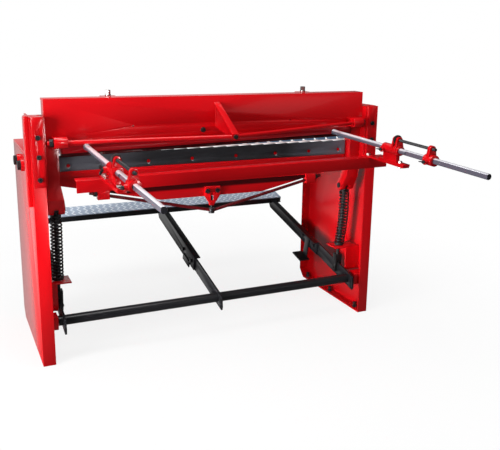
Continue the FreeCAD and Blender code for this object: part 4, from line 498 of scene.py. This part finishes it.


# %% Painted light on the ground top of the lower blade
# It glows with a painted row of teeth of light: over each finger the glow is TOOTH^2 * (1 - t / TOOTH)^2,
# where t is the share of the finger. The blade is seen at a slant, so its teeth lie SLANT metres to the side
# of the notches.
SLANT = 0.016
TOOTH = 1.15
share = share_of_finger(blade_tree, blade_at, NOTCH_EDGE + SLANT)
tooth = maths(blade_tree, "SUBTRACT", 1.0, maths(blade_tree, "DIVIDE", share, TOOTH))
painted_light_teeth = product(blade_tree, over(blade_tree, blade_facing["Z"], FACING_UP), tooth, tooth)
glow_as_reflection(blade_tree, blade_shader, painted_light_teeth, WHITE, TOOTH**2)

# %% Painted reflection at the end of the table
TABLE_END = 0.162
table_enamel, tree, shader, at, facing = red_enamel_for("table_enamel")
# Its flat top past TABLE_END glows white: a painted reflection.
painted_glow_end = product(tree, over(tree, at["Y"], TABLE_END), over(tree, facing["Z"], FACING_UP))
glow_as_reflection(tree, shader, painted_glow_end, WHITE, 0.5)

# %% Painted light on the hold-down's fingers
# Painted light: each notch lets a painted white wedge of light through, high at the notch's edge on +X and
# running out toward -X: its top is z = FOOT_LOW + WEDGE * (1 - t), where t is the share of the notch's width.
# The fingers glow slate, a painted reflection, over a near-black colour of their own.
SLATE_GLOW = (0.070, 0.110, 0.170, 1.0)
NEAR_BLACK_UNDER_GLOW = (0.010, 0.012, 0.016, 1.0)
FOOT_LOW = 0.852
FOOT_TOP = 0.8668
FOOT_FRONT = 0.190
NOTCH_BACK = 0.2085
WEDGE = 0.02408
finger_enamel, tree, shader, at, facing = red_enamel_for("finger_enamel")
on_foot = product(tree, under(tree, at["Z"], FOOT_TOP), over(tree, at["Y"], FOOT_FRONT))
share = maths(tree, "MULTIPLY", share_of_finger(tree, at, NOTCH_EDGE), FINGER_PITCH / NOTCH_WIDTH)
slope = maths(tree, "SUBTRACT", FOOT_LOW + WEDGE, maths(tree, "MULTIPLY", share, WEDGE))
painted_light_wedge = product(tree, under(tree, at["Y"], NOTCH_BACK), under(tree, at["Z"], slope))
glow_as_reflection(tree, shader, on_foot, mixed(tree, painted_light_wedge, SLATE_GLOW, WHITE))
# The foot's own colour is near black, so that the painted glow is what shows.
overpaint(tree, shader, on_foot, NEAR_BLACK_UNDER_GLOW)

# %% [markdown]
# ## Shade in two hollows
# The rail under its ledge and the web of the bed under its step are deep on the real shear, deeper than soft
# panels leave them. Both get painted shade there, so that the line of the step still reads.

# %% Painted shade under the ledge and under the step
# The ledge follows the blade's rake: its line is z = LEDGE - RAKE * x. Its own face, LEDGE_FACE high, gets a
# light painted shade, and below the line a deep one. The bed's painted shade fades in over BAND_FADE above
# BAND_LOW, on the web's face alone.
PAINTED_SHADE_RED = (0.045, 0.001, 0.002, 1.0)
LEDGE = 0.8760
LEDGE_FACE = 0.029
RAKE = 0.0218
BAND_LOW = 0.662
BAND_TOP = 0.690
BAND_FADE = 0.008
WEB_BACK = 0.198
rail_enamel, tree, shader, at, facing = red_enamel_for("rail_enamel")
ledge_line = maths(tree, "SUBTRACT", LEDGE, maths(tree, "MULTIPLY", at["X"], RAKE))
ledge_top = maths(tree, "ADD", ledge_line, LEDGE_FACE)
# The ledge's own face gets a lighter painted shade.
overpaint(tree, shader, under(tree, at["Z"], ledge_top), (0.26, 0.002, 0.005, 1.0))
# Below the ledge's line, a deep painted shade.
overpaint(tree, shader, under(tree, at["Z"], ledge_line), PAINTED_SHADE_RED)

bed_enamel, tree, shader, at, facing = red_enamel_for("bed_enamel")
fading = ramp_between(tree, at["Z"], BAND_LOW, BAND_LOW + BAND_FADE, 0.0, 1.0)
on_web = product(tree, over(tree, facing["Y"], 0.5), under(tree, at["Y"], WEB_BACK))
# The bed's web gets a band of painted shade under its step.
overpaint(tree, shader, product(tree, fading, under(tree, at["Z"], BAND_TOP), on_web), PAINTED_SHADE_RED)

# %% [markdown]
# ## Each solid gets its finish
# The record names a material slot for each sub-part: paint, blade steel, polished rod and so on. One table
# turns the slots into finishes, and the truss rod under the bed gets a darker red, its painted shade.

# %% Finishes by slot
coats = {
    "red_paint": red_enamel,
    "black_paint": black_enamel,
    "black_steel": black_oxide,
    "blade_steel": blade_steel,
    "chrome_rod": polished_rod,
    "zinc_steel": zinc_steel,
    "checker_plate": checker_steel,
}


def coat(piece, material):
    """Give a mesh one material on all its faces."""
    piece.data.materials.clear()
    piece.data.materials.append(material)


for name, node in frame["nodes"].items():
    coat(node, coats[slot_of[name]])
# The truss rod under the bed takes the darker red, a painted shade.
coat(frame["nodes"]["bed_truss_rod"], painted_shade_red_enamel)
print("Finishes given to", len(frame["nodes"]), "solids")

# %% [markdown]
# ## Rounded edges
# No real edge is a perfect corner. Folded sheet has a bend radius, bar has a mill radius, a casting has soft
# corners, and each of them catches a thin line of light. A copy of the measured solid is merged, its flat
# faces are joined, and a Bevel modifier rounds what is left. The copy takes the solid's place and stays
# exactly where it is.

# %% Which edges are rounded, by how many metres
EDGES = {
    "leg_right": 0.0035, "leg_left": 0.0035, "table_apron": 0.0015,
    "slide_ways": 0.0010, "gib_plates": 0.0012, "guide_bars": 0.0012,
    "pivot_blocks": 0.0020, "spring_brackets": 0.0012, "bed_truss_bracket": 0.0008,
    "beam": 0.0022, "beam_arm_right": 0.0020, "beam_arm_left": 0.0020,
    "upper_blade": 0.0004, "truss_gusset": 0.0008,
    "arm_rear_right": 0.0008, "arm_rear_left": 0.0008, "arm_rear_middle": 0.0008,
    "arm_front_right": 0.0010, "arm_front_left": 0.0010, "arm_front_middle": 0.0010,
    "tread_frame": 0.0008, "stop_straps": 0.0008, "clevis_right": 0.0015, "clevis_left": 0.0015,
    "slider_right": 0.0022, "slider_left": 0.0022, "collar_right": 0.0022, "collar_left": 0.0022,
    "gauge_bar": 0.0012, "gauge_straps": 0.0010,
    "lower_blade": 0.0004, "bed_beam": 0.0012, "table": 0.0015, "hold_down": 0.0008, "blade_rail": 0.0012,
}
OWN_FINISH = {
    "lower_blade": ground_blade,
    "bed_beam": bed_enamel,
    "table": table_enamel,
    "hold_down": finger_enamel,
    "blade_rail": rail_enamel,
}
print("Widest rounding in metres:", max(EDGES.values()))

# %% A softened copy of a solid
MERGE = 2e-6
BEVEL_OVER = np.radians(30.0)


def softened(name, width):
    """A merged copy of a solid with its sharp edges rounded by width metres; it stands for the solid."""
    mesh = frame["nodes"][name].data.copy()
    shell = bmesh.new()
    shell.from_mesh(mesh)
    bmesh.ops.remove_doubles(shell, verts=shell.verts, dist=MERGE)
    bmesh.ops.dissolve_limit(shell, angle_limit=np.radians(0.5), verts=shell.verts, edges=shell.edges)
    for face in shell.faces:
        face.smooth = True
    shell.to_mesh(mesh)
    shell.free()
    piece = bpy.data.objects.new(name + "_dressed", mesh)
    bpy.context.scene.collection.objects.link(piece)
    bevel = piece.modifiers.new("rounded_edges", "BEVEL")
    bevel.width = width
    bevel.segments = 2
    bevel.limit_method = "ANGLE"
    bevel.angle_limit = BEVEL_OVER
    bevel.harden_normals = True
    bevel.use_clamp_overlap = True
    coat(piece, OWN_FINISH.get(name, coats[slot_of[name]]))
    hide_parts(name)
    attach(piece, body_of[name])


for name, width in EDGES.items():
    softened(name, width)
print("Edges rounded on", len(EDGES), "solids")

# %% [markdown]
# ## Surfaces on a grid
# Most round and wound parts are one function of two parameters. Each row of such a grid is a ring of points
# about a line. The helpers below lay quads between the rings and close the two ends, so that a tube, a spring
# or a knurled wheel is one line of arithmetic.


# %% Points on a grid become a mesh
SHARP_OVER = np.radians(35.0)


def grid_faces(rows, columns, start):
    """Quads between the rings of a grid whose points are numbered from start; each ring closes on itself."""
    i, j = np.meshgrid(np.arange(rows - 1), np.arange(columns), indexing="ij")
    here, right = i * columns + j, i * columns + (j + 1) % columns
    return start + np.stack([here, right, right + columns, here + columns], axis=-1).reshape(-1, 4)


def piece_from(name, grids, body, material, node_names=()):
    """One piece from several grids of rings; an end ring that isn't a single point gets a face of its own."""
    points, faces, start = [], [], 0
    for grid in grids:
        rows, columns = grid.shape[:2]
        points.append(grid.reshape(-1, 3))
        faces += grid_faces(rows, columns, start).tolist()
        for ring, first in ((grid[0], start), (grid[-1], start + (rows - 1) * columns)):
            if np.ptp(ring, axis=0).max() > MERGE:
                faces.append(list(range(first, first + columns)))
        start += rows * columns
    mesh = bpy.data.meshes.new(name)
    mesh.from_pydata(np.concatenate(points).tolist(), [], faces)
    shell = bmesh.new()
    shell.from_mesh(mesh)
    bmesh.ops.remove_doubles(shell, verts=shell.verts, dist=1e-7)
    bmesh.ops.recalc_face_normals(shell, faces=shell.faces)
    for face in shell.faces:
        face.smooth = True
    for edge in shell.edges:
        if edge.is_manifold and edge.calc_face_angle(0.0) > SHARP_OVER:
            edge.smooth = False
    shell.to_mesh(mesh)
    shell.free()
    piece = bpy.data.objects.new(name, mesh)
    bpy.context.scene.collection.objects.link(piece)
    coat(piece, material)
    if node_names:
        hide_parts(*node_names)
    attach(piece, body)
    print("Piece:", name, "with", len(mesh.polygons), "faces")
    return piece


# %% Rings about a line
def frame_of(direction, up=(0.0, 0.0, 1.0)):
    """Three unit columns (across, over, along) with along in a direction and over as near up as can be."""
    along = np.asarray(direction, float) / np.linalg.norm(direction)
    across = np.cross(up, along)
    if np.linalg.norm(across) < 1e-6:
        across = np.cross((0.0, 1.0, 0.0), along)
    across /= np.linalg.norm(across)
    return np.stack([across, np.cross(along, across), along], axis=1)


def circle(sides):
    """The angles of a circle's corners."""
    return np.linspace(0.0, 2.0 * np.pi, sides, endpoint=False)


def rings_about(rings, angle, place, direction):
    """Rings (radius, height) about a line from a place: (r cos a, r sin a, h), where h may change with a."""
    local = np.stack([
        np.stack([r * np.cos(angle), r * np.sin(angle), h + 0.0 * angle], axis=-1) for r, h in rings
    ])
    return local @ frame_of(direction).T + np.asarray(place, float)


def turned(profile, place, direction, sides=40):
    """A turned shape: each profile row is (radius, distance along), swept a full circle about a line."""
    return rings_about(profile, circle(sides), place, direction)


# %% Hexagon heads and tubes
def from_nearest_flat(angle):
    """The angle from the middle of a hexagon's nearest flat, from -30 to 30 degrees."""
    return (angle + np.pi / 6.0) % (np.pi / 3.0) - np.pi / 6.0


def hexagonal(across_corners, height, place, direction, twist=0.0):
    """A hexagon head: its radius is flat / cos(angle from the flat), and a cone turns its top corners off."""
    angle = circle(48)
    flat = across_corners / 2.0 * np.cos(np.pi / 6.0)
    radius = flat / np.cos(from_nearest_flat(angle))
    drop = np.maximum(radius - flat, 0.0) * 0.55
    rings = [(0.0, height), (flat * 0.96, height), (radius, height - drop), (radius, 0.0), (0.0, 0.0)]
    return rings_about(rings, angle + twist, place, direction)


def tube_along(path, radius, sides):
    """A round tube along a path: rings in the normal plane of its tangent, which never twist."""
    path = np.asarray(path, float)
    tangent = np.gradient(path, axis=0)
    tangent /= np.linalg.norm(tangent, axis=1, keepdims=True)
    side = np.cross(tangent, (0.0031, 0.0017, 1.0))
    side /= np.linalg.norm(side, axis=1, keepdims=True)
    upper = np.cross(tangent, side)
    angle = circle(sides)[None, :, None]
    radius = np.broadcast_to(np.asarray(radius, float), (len(path),))[:, None, None]
    return path[:, None, :] + radius * (np.cos(angle) * side[:, None, :] + np.sin(angle) * upper[:, None, :])


# %% [markdown]
# ## The tilted frames of the machine
# Three groups of parts are not square to the floor. The upper blade's rail is raked, the gauge rods droop a
# little to the rear, and the treadle slopes up to the foot. Each group gets a function from its own straight
# coordinates, in metres, to the shear's.


# %% From a group's own coordinates to the shear's
def turn_about(axis, degrees):
    """A rotation matrix about X, Y or Z."""
    return np.array(Matrix.Rotation(np.radians(degrees), 3, axis))


def placed(origin, turn):
    """A function that takes points of a tilted group to the shear's frame."""
    return lambda points: np.asarray(points, float) @ turn.T + np.asarray(origin, float)


RAKE_DEGREES = 1.25
ROD_X = 0.561
gauge_turn = turn_about("Y", 0.6) @ turn_about("X", -1.25)
gauge_place = placed((0.0, 0.272, 0.890), gauge_turn)
rake_turn = turn_about("Y", RAKE_DEGREES)
rake_place = placed((0.0, 0.214, 0.8545), rake_turn)
treadle_turn = turn_about("X", -12.9)
treadle_place = placed((0.0, 0.258, 0.172), treadle_turn)
tread_place = placed(treadle_place([0.0, -0.814, 0.020]), treadle_turn)
print("The treadle's tread lies about", tread_place([0.0, 0.0, 0.0]).round(3))

# %% [markdown]
# ## Return springs
# Two long compression springs stand about the links and lift the beam when the foot lets go. Each is black
# wire wound with a gap between its turns and a dead turn at each end that lies flat on its seat. The line of
# the left coil bows out a little, as a long spring does.


# %% A wound spring between two points
STEPS_PER_TURN = 28
DEAD_TURNS = 0.9


def wound(low, high, width, wire, turns, bow=0.0):
    """The wire's centre: a circle about the line from low to high that climbs, slowly at both dead ends."""
    low, high = np.asarray(low, float), np.asarray(high, float)
    along = np.linspace(0.0, 1.0, int(turns * STEPS_PER_TURN))
    climb = np.clip((along * turns - DEAD_TURNS) / (turns - 2.0 * DEAD_TURNS), 0.0, 1.0)
    dead = np.minimum(along * turns, 1.0) + np.maximum(along * turns - turns + 1.0, 0.0)
    length = np.linalg.norm(high - low)
    lift = (climb * (length - 2.2 * wire) + dead * wire * 0.6) / length
    middle = low + lift[:, None] * (high - low)
    middle = middle + bow * np.sin(np.pi * lift)[:, None] * np.array([-0.9, 0.4, 0.0])
    across, upper = frame_of(high - low, Y)[:, :2].T
    angle = 2.0 * np.pi * turns * along[:, None]
    return middle + (width - wire) / 2.0 * (np.cos(angle) * across + np.sin(angle) * upper)


LINK_PIN = np.array([0.681, 0.199, 0.627])
clevis_pin = treadle_place([0.0, -0.1065, 0.0])
link_lean = np.arctan2(LINK_PIN[1] - clevis_pin[1], LINK_PIN[2] - clevis_pin[2])
link_down = np.array([0.0, -np.sin(link_lean), -np.cos(link_lean)])
for side, word in SIDES:
    pin = LINK_PIN * (side, 1.0, 1.0)
    top, foot = pin + link_down * 0.0318, pin + link_down * 0.3060
    bow = 0.007 if word == "left" else 0.0
    line = wound(foot, top, width=0.050, wire=0.0072, turns=19, bow=bow)
    spring = piece_from(
        "return_spring_wire_" + word, [tube_along(line, 0.0036, 10)], "frame",
        black_oxide, ("return_spring_" + word,),
    )
    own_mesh(spring)
print("Return springs wound, lean in degrees:", round(float(np.degrees(link_lean)), 2))

# %% [markdown]
# ## Hold-down springs
# Two short springs press the hold-down toward the sheet. They stand between the bar's bosses and the beam's
# lugs and shorten when the beam goes on down after the bar has met the sheet.

# %% Two short springs
LIFTER_X = 0.447
LIFTER_Y = 0.171
for side, word in SIDES:
    x = side * LIFTER_X
    line = wound((x, LIFTER_Y, 0.9658), (x, LIFTER_Y, 1.0603), width=0.024, wire=0.003, turns=7.5)
    hold_spring = piece_from(
        "hold_down_spring_wire_" + word, [tube_along(line, 0.0015, 8)], "blade_beam",
        black_oxide, ("hold_down_springs",),
    )
    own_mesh(hold_spring)

# %% [markdown]
# ## Checker plate
# The tread is covered by steel plate with raised lozenges, so that a wet shoe doesn't slip. Real plate is
# rolled, so each lozenge swells softly out of the sheet, and the rows point left and right by turns. The
# lozenges are drawn a little larger than life, because they could not be told apart at this distance.


# %% A plate and its raised lozenges
def lozenges(half_width, depth, pitch, length, breadth, rise):
    """Low domes that lean 45 degrees: rise * (1 - u^2) * (1 - v^2) on top, and flat underneath."""
    rows = int(depth // (pitch * 0.5))
    columns = int(2 * half_width // pitch)
    across = np.array([-1.0, -0.6, -0.2, 0.2, 0.6, 1.0, 0.5, -0.5])
    beneath = np.arange(len(across)) > 5
    u, v = np.meshgrid(np.linspace(-1.0, 1.0, 7), across, indexing="ij")
    pinch = np.sqrt(np.clip(1.0 - u**2, 0.0, 1.0)) * 0.85 + 0.15
    dome = np.where(beneath[None, :], -0.0004, rise * (1.0 - u**2) * (1.0 - v**2) - 0.0001)
    a, b = u * length / 2.0, v * pinch * breadth / 2.0
    shapes = []
    for row in range(rows):
        y = -depth + (row + 0.5) * depth / rows
        lean = np.pi / 4.0 if row % 2 else -np.pi / 4.0
        shift = 0.5 * pitch if row % 2 else 0.0
        for column in range(columns):
            x = -half_width + shift + (column + 0.5) * (2 * half_width - shift) / columns
            shapes.append(np.stack([
                x + a * np.cos(lean) - b * np.sin(lean),
                y + a * np.sin(lean) + b * np.cos(lean),
                dome,
            ], axis=-1))
    return shapes


PLATE_TOP = 0.034
raised = lozenges(half_width=0.700, depth=0.096, pitch=0.034, length=0.026, breadth=0.0085, rise=0.0018)
on_tread = [tread_place(shape + (0.0, -0.002, PLATE_TOP)) for shape in raised]
# The lozenges take the pale finish, a painted highlight.
piece_from("tread_lozenges", on_tread, "treadle", lozenge_highlight_steel)
print("Lozenges on the tread:", len(raised))

# %% [markdown]
# ## Fasteners
# Bolt heads are small, but they are what the eye reads as machined. A hexagon head is a prism whose corners
# are turned off by a cone, a cap screw is a short drum with a six-sided socket, and a washer lies under some
# of them. Each is one grid of rings whose radius depends on the angle.


# %% Cap screws and washers
def cap_screw(width, height, place, direction, socket=0.45, depth=0.55):
    """A drum with a rounded rim; the last rings fall into a socket whose radius is that of a hexagon."""
    angle = circle(48)
    rim = width / 2.0
    six = rim * socket * np.cos(np.pi / 6.0) / np.cos(from_nearest_flat(angle))
    rings = [
        (0.0, 0.0), (rim, 0.0), (rim, height * 0.88), (rim * 0.97, height * 0.97), (rim * 0.90, height),
        (six * 1.12, height), (six, height * 0.97), (six, height * (1.0 - depth)),
        (0.0, height * (1.0 - depth)),
    ]
    return rings_about(rings, angle, place, direction)


def washer(width, thick, place, direction):
    """A flat ring's outside, as a low turned drum."""
    r = width / 2.0
    return turned([(0, 0), (r, 0), (r, thick * 0.8), (r * 0.97, thick), (0, thick)], place, direction)


# %% Bolts of the frame
# Each leg has two large bolts in its side, three short ones at its foot, and three cap screws on its gib.
LEG_SIDE = 0.790
FOOT_X = 0.745
GIB_X = 0.747
GIB_BACK = 0.300
frame_bolts = []
gib_heads = []
for side, word in SIDES:
    for y in (-0.065, 0.065):
        face = np.array([side * LEG_SIDE, y, 0.790])
        frame_bolts.append(washer(0.046, 0.0012, face, side * X))
        frame_bolts.append(hexagonal(0.040, 0.0118, face + side * 0.0012 * X, side * X, twist=0.3 + y))
    for y in (-0.240, 0.0, 0.240):
        foot = np.array([side * FOOT_X, y, 0.0])
        frame_bolts.append(turned([(0, 0), (0.006, 0), (0.006, 0.0285), (0.0, 0.0285)], foot, Z))
        frame_bolts.append(hexagonal(0.022, 0.0112, foot + 0.006 * Z, Z, twist=y))
        frame_bolts.append(hexagonal(0.022, 0.0060, foot + 0.024 * Z, Z, twist=1.0 + y))
    for z in (0.770, 0.857, 0.932):
        gib_heads.append(cap_screw(0.019, 0.008, (side * GIB_X, GIB_BACK, z), Y))
piece_from("frame_bolt_heads", frame_bolts, "frame", black_oxide, ("frame_bolts",))
piece_from("gib_screw_heads", gib_heads, "frame", black_oxide, ("gib_screws",))

# %% Screws of the two blades
LOWER_SCREWS = (0.102, 0.295, 0.467, 0.624)
UPPER_PITCH = 0.162
lower_heads = [
    cap_screw(0.013, 0.0046, (side * x, 0.2090, 0.803), Y, socket=0.5, depth=0.8)
    for side, word in SIDES for x in LOWER_SCREWS
]
piece_from(
    "lower_blade_screw_heads", lower_heads, "frame", red_enamel, ("lower_blade_screws",)
)
upper_heads = [
    cap_screw(0.014, 0.005, rake_place([k * UPPER_PITCH, 0.036, 0.0125]), rake_turn @ Y) for k in range(-3, 4)
]
# The heads take the rail's enamel, so they get its painted shade under the ledge.
piece_from(
    "upper_blade_screw_heads", upper_heads, "blade_beam", rail_enamel, ("upper_blade_screws",)
)

# %% Truss fasteners on the beam
# Each half of the truss slopes from the gusset's tip to an end of the beam, and its nut looks along it.
TRUSS_Z = 0.070
truss_slope = 0.146 / 0.664
truss_heads = []
for side, word in SIDES:
    along = rake_turn @ np.array([side, -truss_slope, 0.0]) / np.hypot(1.0, truss_slope)
    nut = rake_place([side * 0.6895, 0.090 - 0.0255 * truss_slope, TRUSS_Z])
    truss_heads.append(washer(0.034, 0.002, nut, along))
    truss_heads.append(hexagonal(0.030, 0.012, nut + 0.002 * along, along))
tip = rake_place([0.008, 0.248, TRUSS_Z])
truss_heads.append(hexagonal(0.020, 0.010, tip, rake_turn @ Y, twist=0.2))
web_bolt = rake_place([0.068, 0.044, 0.0755 + 0.068 * np.tan(np.radians(RAKE_DEGREES))])
truss_heads.append(washer(0.022, 0.002, web_bolt, Y))
truss_heads.append(hexagonal(0.018, 0.0085, web_bolt + 0.002 * Y, Y, twist=0.5))
piece_from("truss_nuts", truss_heads, "blade_beam", black_oxide, ("truss_fasteners",))

# %% [markdown]
# ## Weld beads of the gusset
# The gusset is welded to the beam's web. A weld laid by hand is a thin line of small overlapping scales, and
# under gloss paint it shows as a broken thread of light.


# %% A rippled bead of weld
def bead(start, end):
    """A thin tube whose radius is thick * (1 + 0.25 * sin(2 pi * along / ripple)), drawn in at both ends."""
    thick, ripple = 0.0024, 0.0060
    start, end = np.asarray(start, float), np.asarray(end, float)
    length = np.linalg.norm(end - start)
    share = np.linspace(0.0, 1.0, max(8, int(length / 0.0012)))
    radius = thick * (1.0 + 0.25 * np.sin(2.0 * np.pi * share * length / ripple))
    radius[[0, -1]] *= 0.4
    return tube_along(start + share[:, None] * (end - start), radius, 8)


web_face, tip_back = 0.2585, 0.448
beads = []
for side, word in SIDES:
    x = 0.008 + side * 0.0048
    beads.append(bead((x, web_face, 0.942), (x, web_face, 1.032)))
    beads.append(bead((x, web_face, 1.036), (x + side * 0.008, web_face, 1.036)))
    beads.append(bead((x, web_face + 0.004, 1.031), (x, tip_back, 0.9335)))
piece_from("gusset_welds", beads, "blade_beam", red_enamel)

# %% [markdown]
# ## Lifting bolts of the hold-down
# Two bolts hang the hold-down from the beam. Their bright hexagon heads rest on washers on the beam's top.

# %% Stem, washer and head
lifting = []
for side, word in SIDES:
    stem = np.array([side * LIFTER_X, LIFTER_Y, 0.0])
    washer_rows = [
        (0, 1.0723), (0.0118, 1.0723), (0.012, 1.0730), (0.012, 1.0776), (0.0116, 1.0783), (0, 1.0783)
    ]
    lifting.append(turned([(0, 0.9402), (0.0059, 0.9402), (0.0059, 1.073), (0, 1.073)], stem, Z))
    lifting.append(turned(washer_rows, stem, Z))
    lifting.append(hexagonal(0.022, 0.017, stem + 1.0783 * Z, Z, twist=side))
piece_from("lifting_bolts", lifting, "hold_down_bar", zinc_steel, ("hold_down_bolts",))

# %% [markdown]
# ## Feed wheels and spindles
# A knurled wheel on a long screw moves the gauge bar by small steps. The wheel's rim is cut with fine grooves
# so that fingers grip it, and the screw's thread is a ridge that climbs once round for each pitch.


# %% A knurled wheel and its screw
def knurled(place, direction, radius, width, grooves, cut_depth):
    """A disc whose rim is radius - depth * |sin(grooves * angle / 2)|, with both rims turned down."""
    angle = circle(grooves * 4)
    rim = radius - cut_depth * np.abs(np.sin(angle * grooves / 2.0))
    inner = radius * 0.86
    half = width / 2.0
    front = [
        (0.0, half * 0.8), (inner * 0.62, half * 0.8), (inner * 0.70, half), (inner, half),
        (rim, half * 0.75),
    ]
    back = [(r, -h) for r, h in front]
    return rings_about(back + front[::-1], angle, place, direction)


def threaded(place, direction, radius, depth, pitch, length):
    """A screw: radius - depth * (0.5 - 0.5 * cos(2 pi * along / pitch - angle)), pointed at both ends."""
    along = np.arange(0.0, length, pitch / 5.0)[:, None]
    angle = circle(16)
    r = radius - depth * (0.5 - 0.5 * np.cos(2.0 * np.pi * along / pitch - angle))
    r[0] = r[-1] = 0.0
    r[1] = r[-2] = radius - 1.5 * depth
    return rings_about(zip(r, along), angle, place, direction)


WHEEL_UP = 0.041
rod_side, rod_way, rod_up = gauge_turn.T
for side, word in SIDES:
    wheel = gauge_place([side * ROD_X, 0.480, WHEEL_UP])
    screw_end = gauge_place([side * ROD_X, 0.464, WHEEL_UP])
    wheel_grids = [
        knurled(wheel, rod_way, radius=0.019, width=0.012, grooves=48, cut_depth=0.0009),
        threaded(screw_end, rod_way, radius=0.006, depth=0.0006, pitch=0.002, length=0.250),
    ]
    piece_from(
        "feed_wheel_" + word, wheel_grids, word + "_wheel", black_oxide, ("wheel_" + word,)
    )

# %% [markdown]
# ## Wing screws
# Four wing screws clamp the castings to the rods. Each is a forged hub with two thin ears that a thumb can
# turn, on a short threaded shank.


# %% Hub, ears and shank of a wing screw
def wing_ear(hub, out, along, thin):
    """A lobe: an ellipse in (out, along) from inside the hub, as thick as thick * sqrt(1 - u^2 - v^2)."""
    reach, length, thick = 0.0175, 0.0120, 0.0046
    u = np.linspace(0.0, np.pi, 13)[:, None]
    v = circle(20)[None, :]
    a = reach / 2.0 * (1.0 - np.cos(u)) * np.ones_like(v)
    b = length / 2.0 * np.sin(u) * np.cos(v) + a * 0.35
    c = thick / 2.0 * np.sin(u) * np.sin(v)
    return hub + a[..., None] * out + b[..., None] * along + c[..., None] * thin


HUB = [(0, 0), (0.0066, 0), (0.0070, 0.0008), (0.0062, 0.0060), (0.0050, 0.0082), (0, 0.0088)]
SHANK = [(0, 0), (0.0035, 0), (0.0040, 0.0008), (0.0040, 0.0190), (0, 0.0190)]
WINGS = (
    ("slider_screw_right", ROD_X, 0.415, "right_slider_screw", False),
    ("slider_screw_left", -ROD_X, 0.415, "left_slider_screw", True),
    ("collar_screw_right", ROD_X, 0.689, "right_collar_screw", True),
    ("collar_screw_left", -ROD_X, 0.689, "left_collar_screw", True),
)
for name, x, y, body, lying in WINGS:
    hub = gauge_place([x + 0.0303, y, -0.005])
    out, thin = (rod_way, rod_up) if lying else (rod_up, rod_way)
    root = hub + 0.0050 * rod_side
    grids = [
        turned(SHANK, hub - 0.0190 * rod_side, rod_side),
        turned(HUB, hub, rod_side, sides=28),
        wing_ear(root, out, rod_side, thin),
        wing_ear(root, -out, rod_side, thin),
    ]
    piece_from(name + "_forged", grids, body, black_oxide, (name,))

# %% [markdown]
# ## Gauge rods
# The two rods that stand out to the rear are ground and polished, with a flat milled along the outer length
# for a scale. The flat looks sideways, so the rods' painted reflection lays a grey band on it beside the
# painted white top. The sawn ends are given a dark colour.


# %% Rods with a milled flat
def milled_rod(x):
    """Rings along a rod: x = min(x, radius - flat_depth) past flat_from, and the full circle before it."""
    radius, flat_depth, flat_from, start, end = 0.011, 0.003, 0.545, 0.0006, 0.9896
    along = np.array([start, start + 0.0008, flat_from - 1e-5, flat_from, end - 0.0010, end])[:, None]
    r = radius * np.array([0.94, 1.0, 1.0, 1.0, 1.0, 0.93])[:, None]
    angle = circle(96)[None, :]
    across = r * np.cos(angle)
    across = np.where(along >= flat_from, np.minimum(across, radius - flat_depth), across)
    return np.stack([x + across, along + 0.0 * angle, r * np.sin(angle)], axis=-1)


COLLAR = [(0, 0.0006), (0.0125, 0.0006), (0.0130, 0.0011), (0.0130, 0.0060), (0.0124, 0.0066), (0, 0.0066)]
rods = []
for side, word in SIDES:
    rods.append(gauge_place(milled_rod(side * ROD_X)))
    rods.append(turned(COLLAR, gauge_place([side * ROD_X, 0.0, 0.0]), rod_way))
piece_from("polished_rods", rods, "blade_beam", polished_rod, ("gauge_rods",))
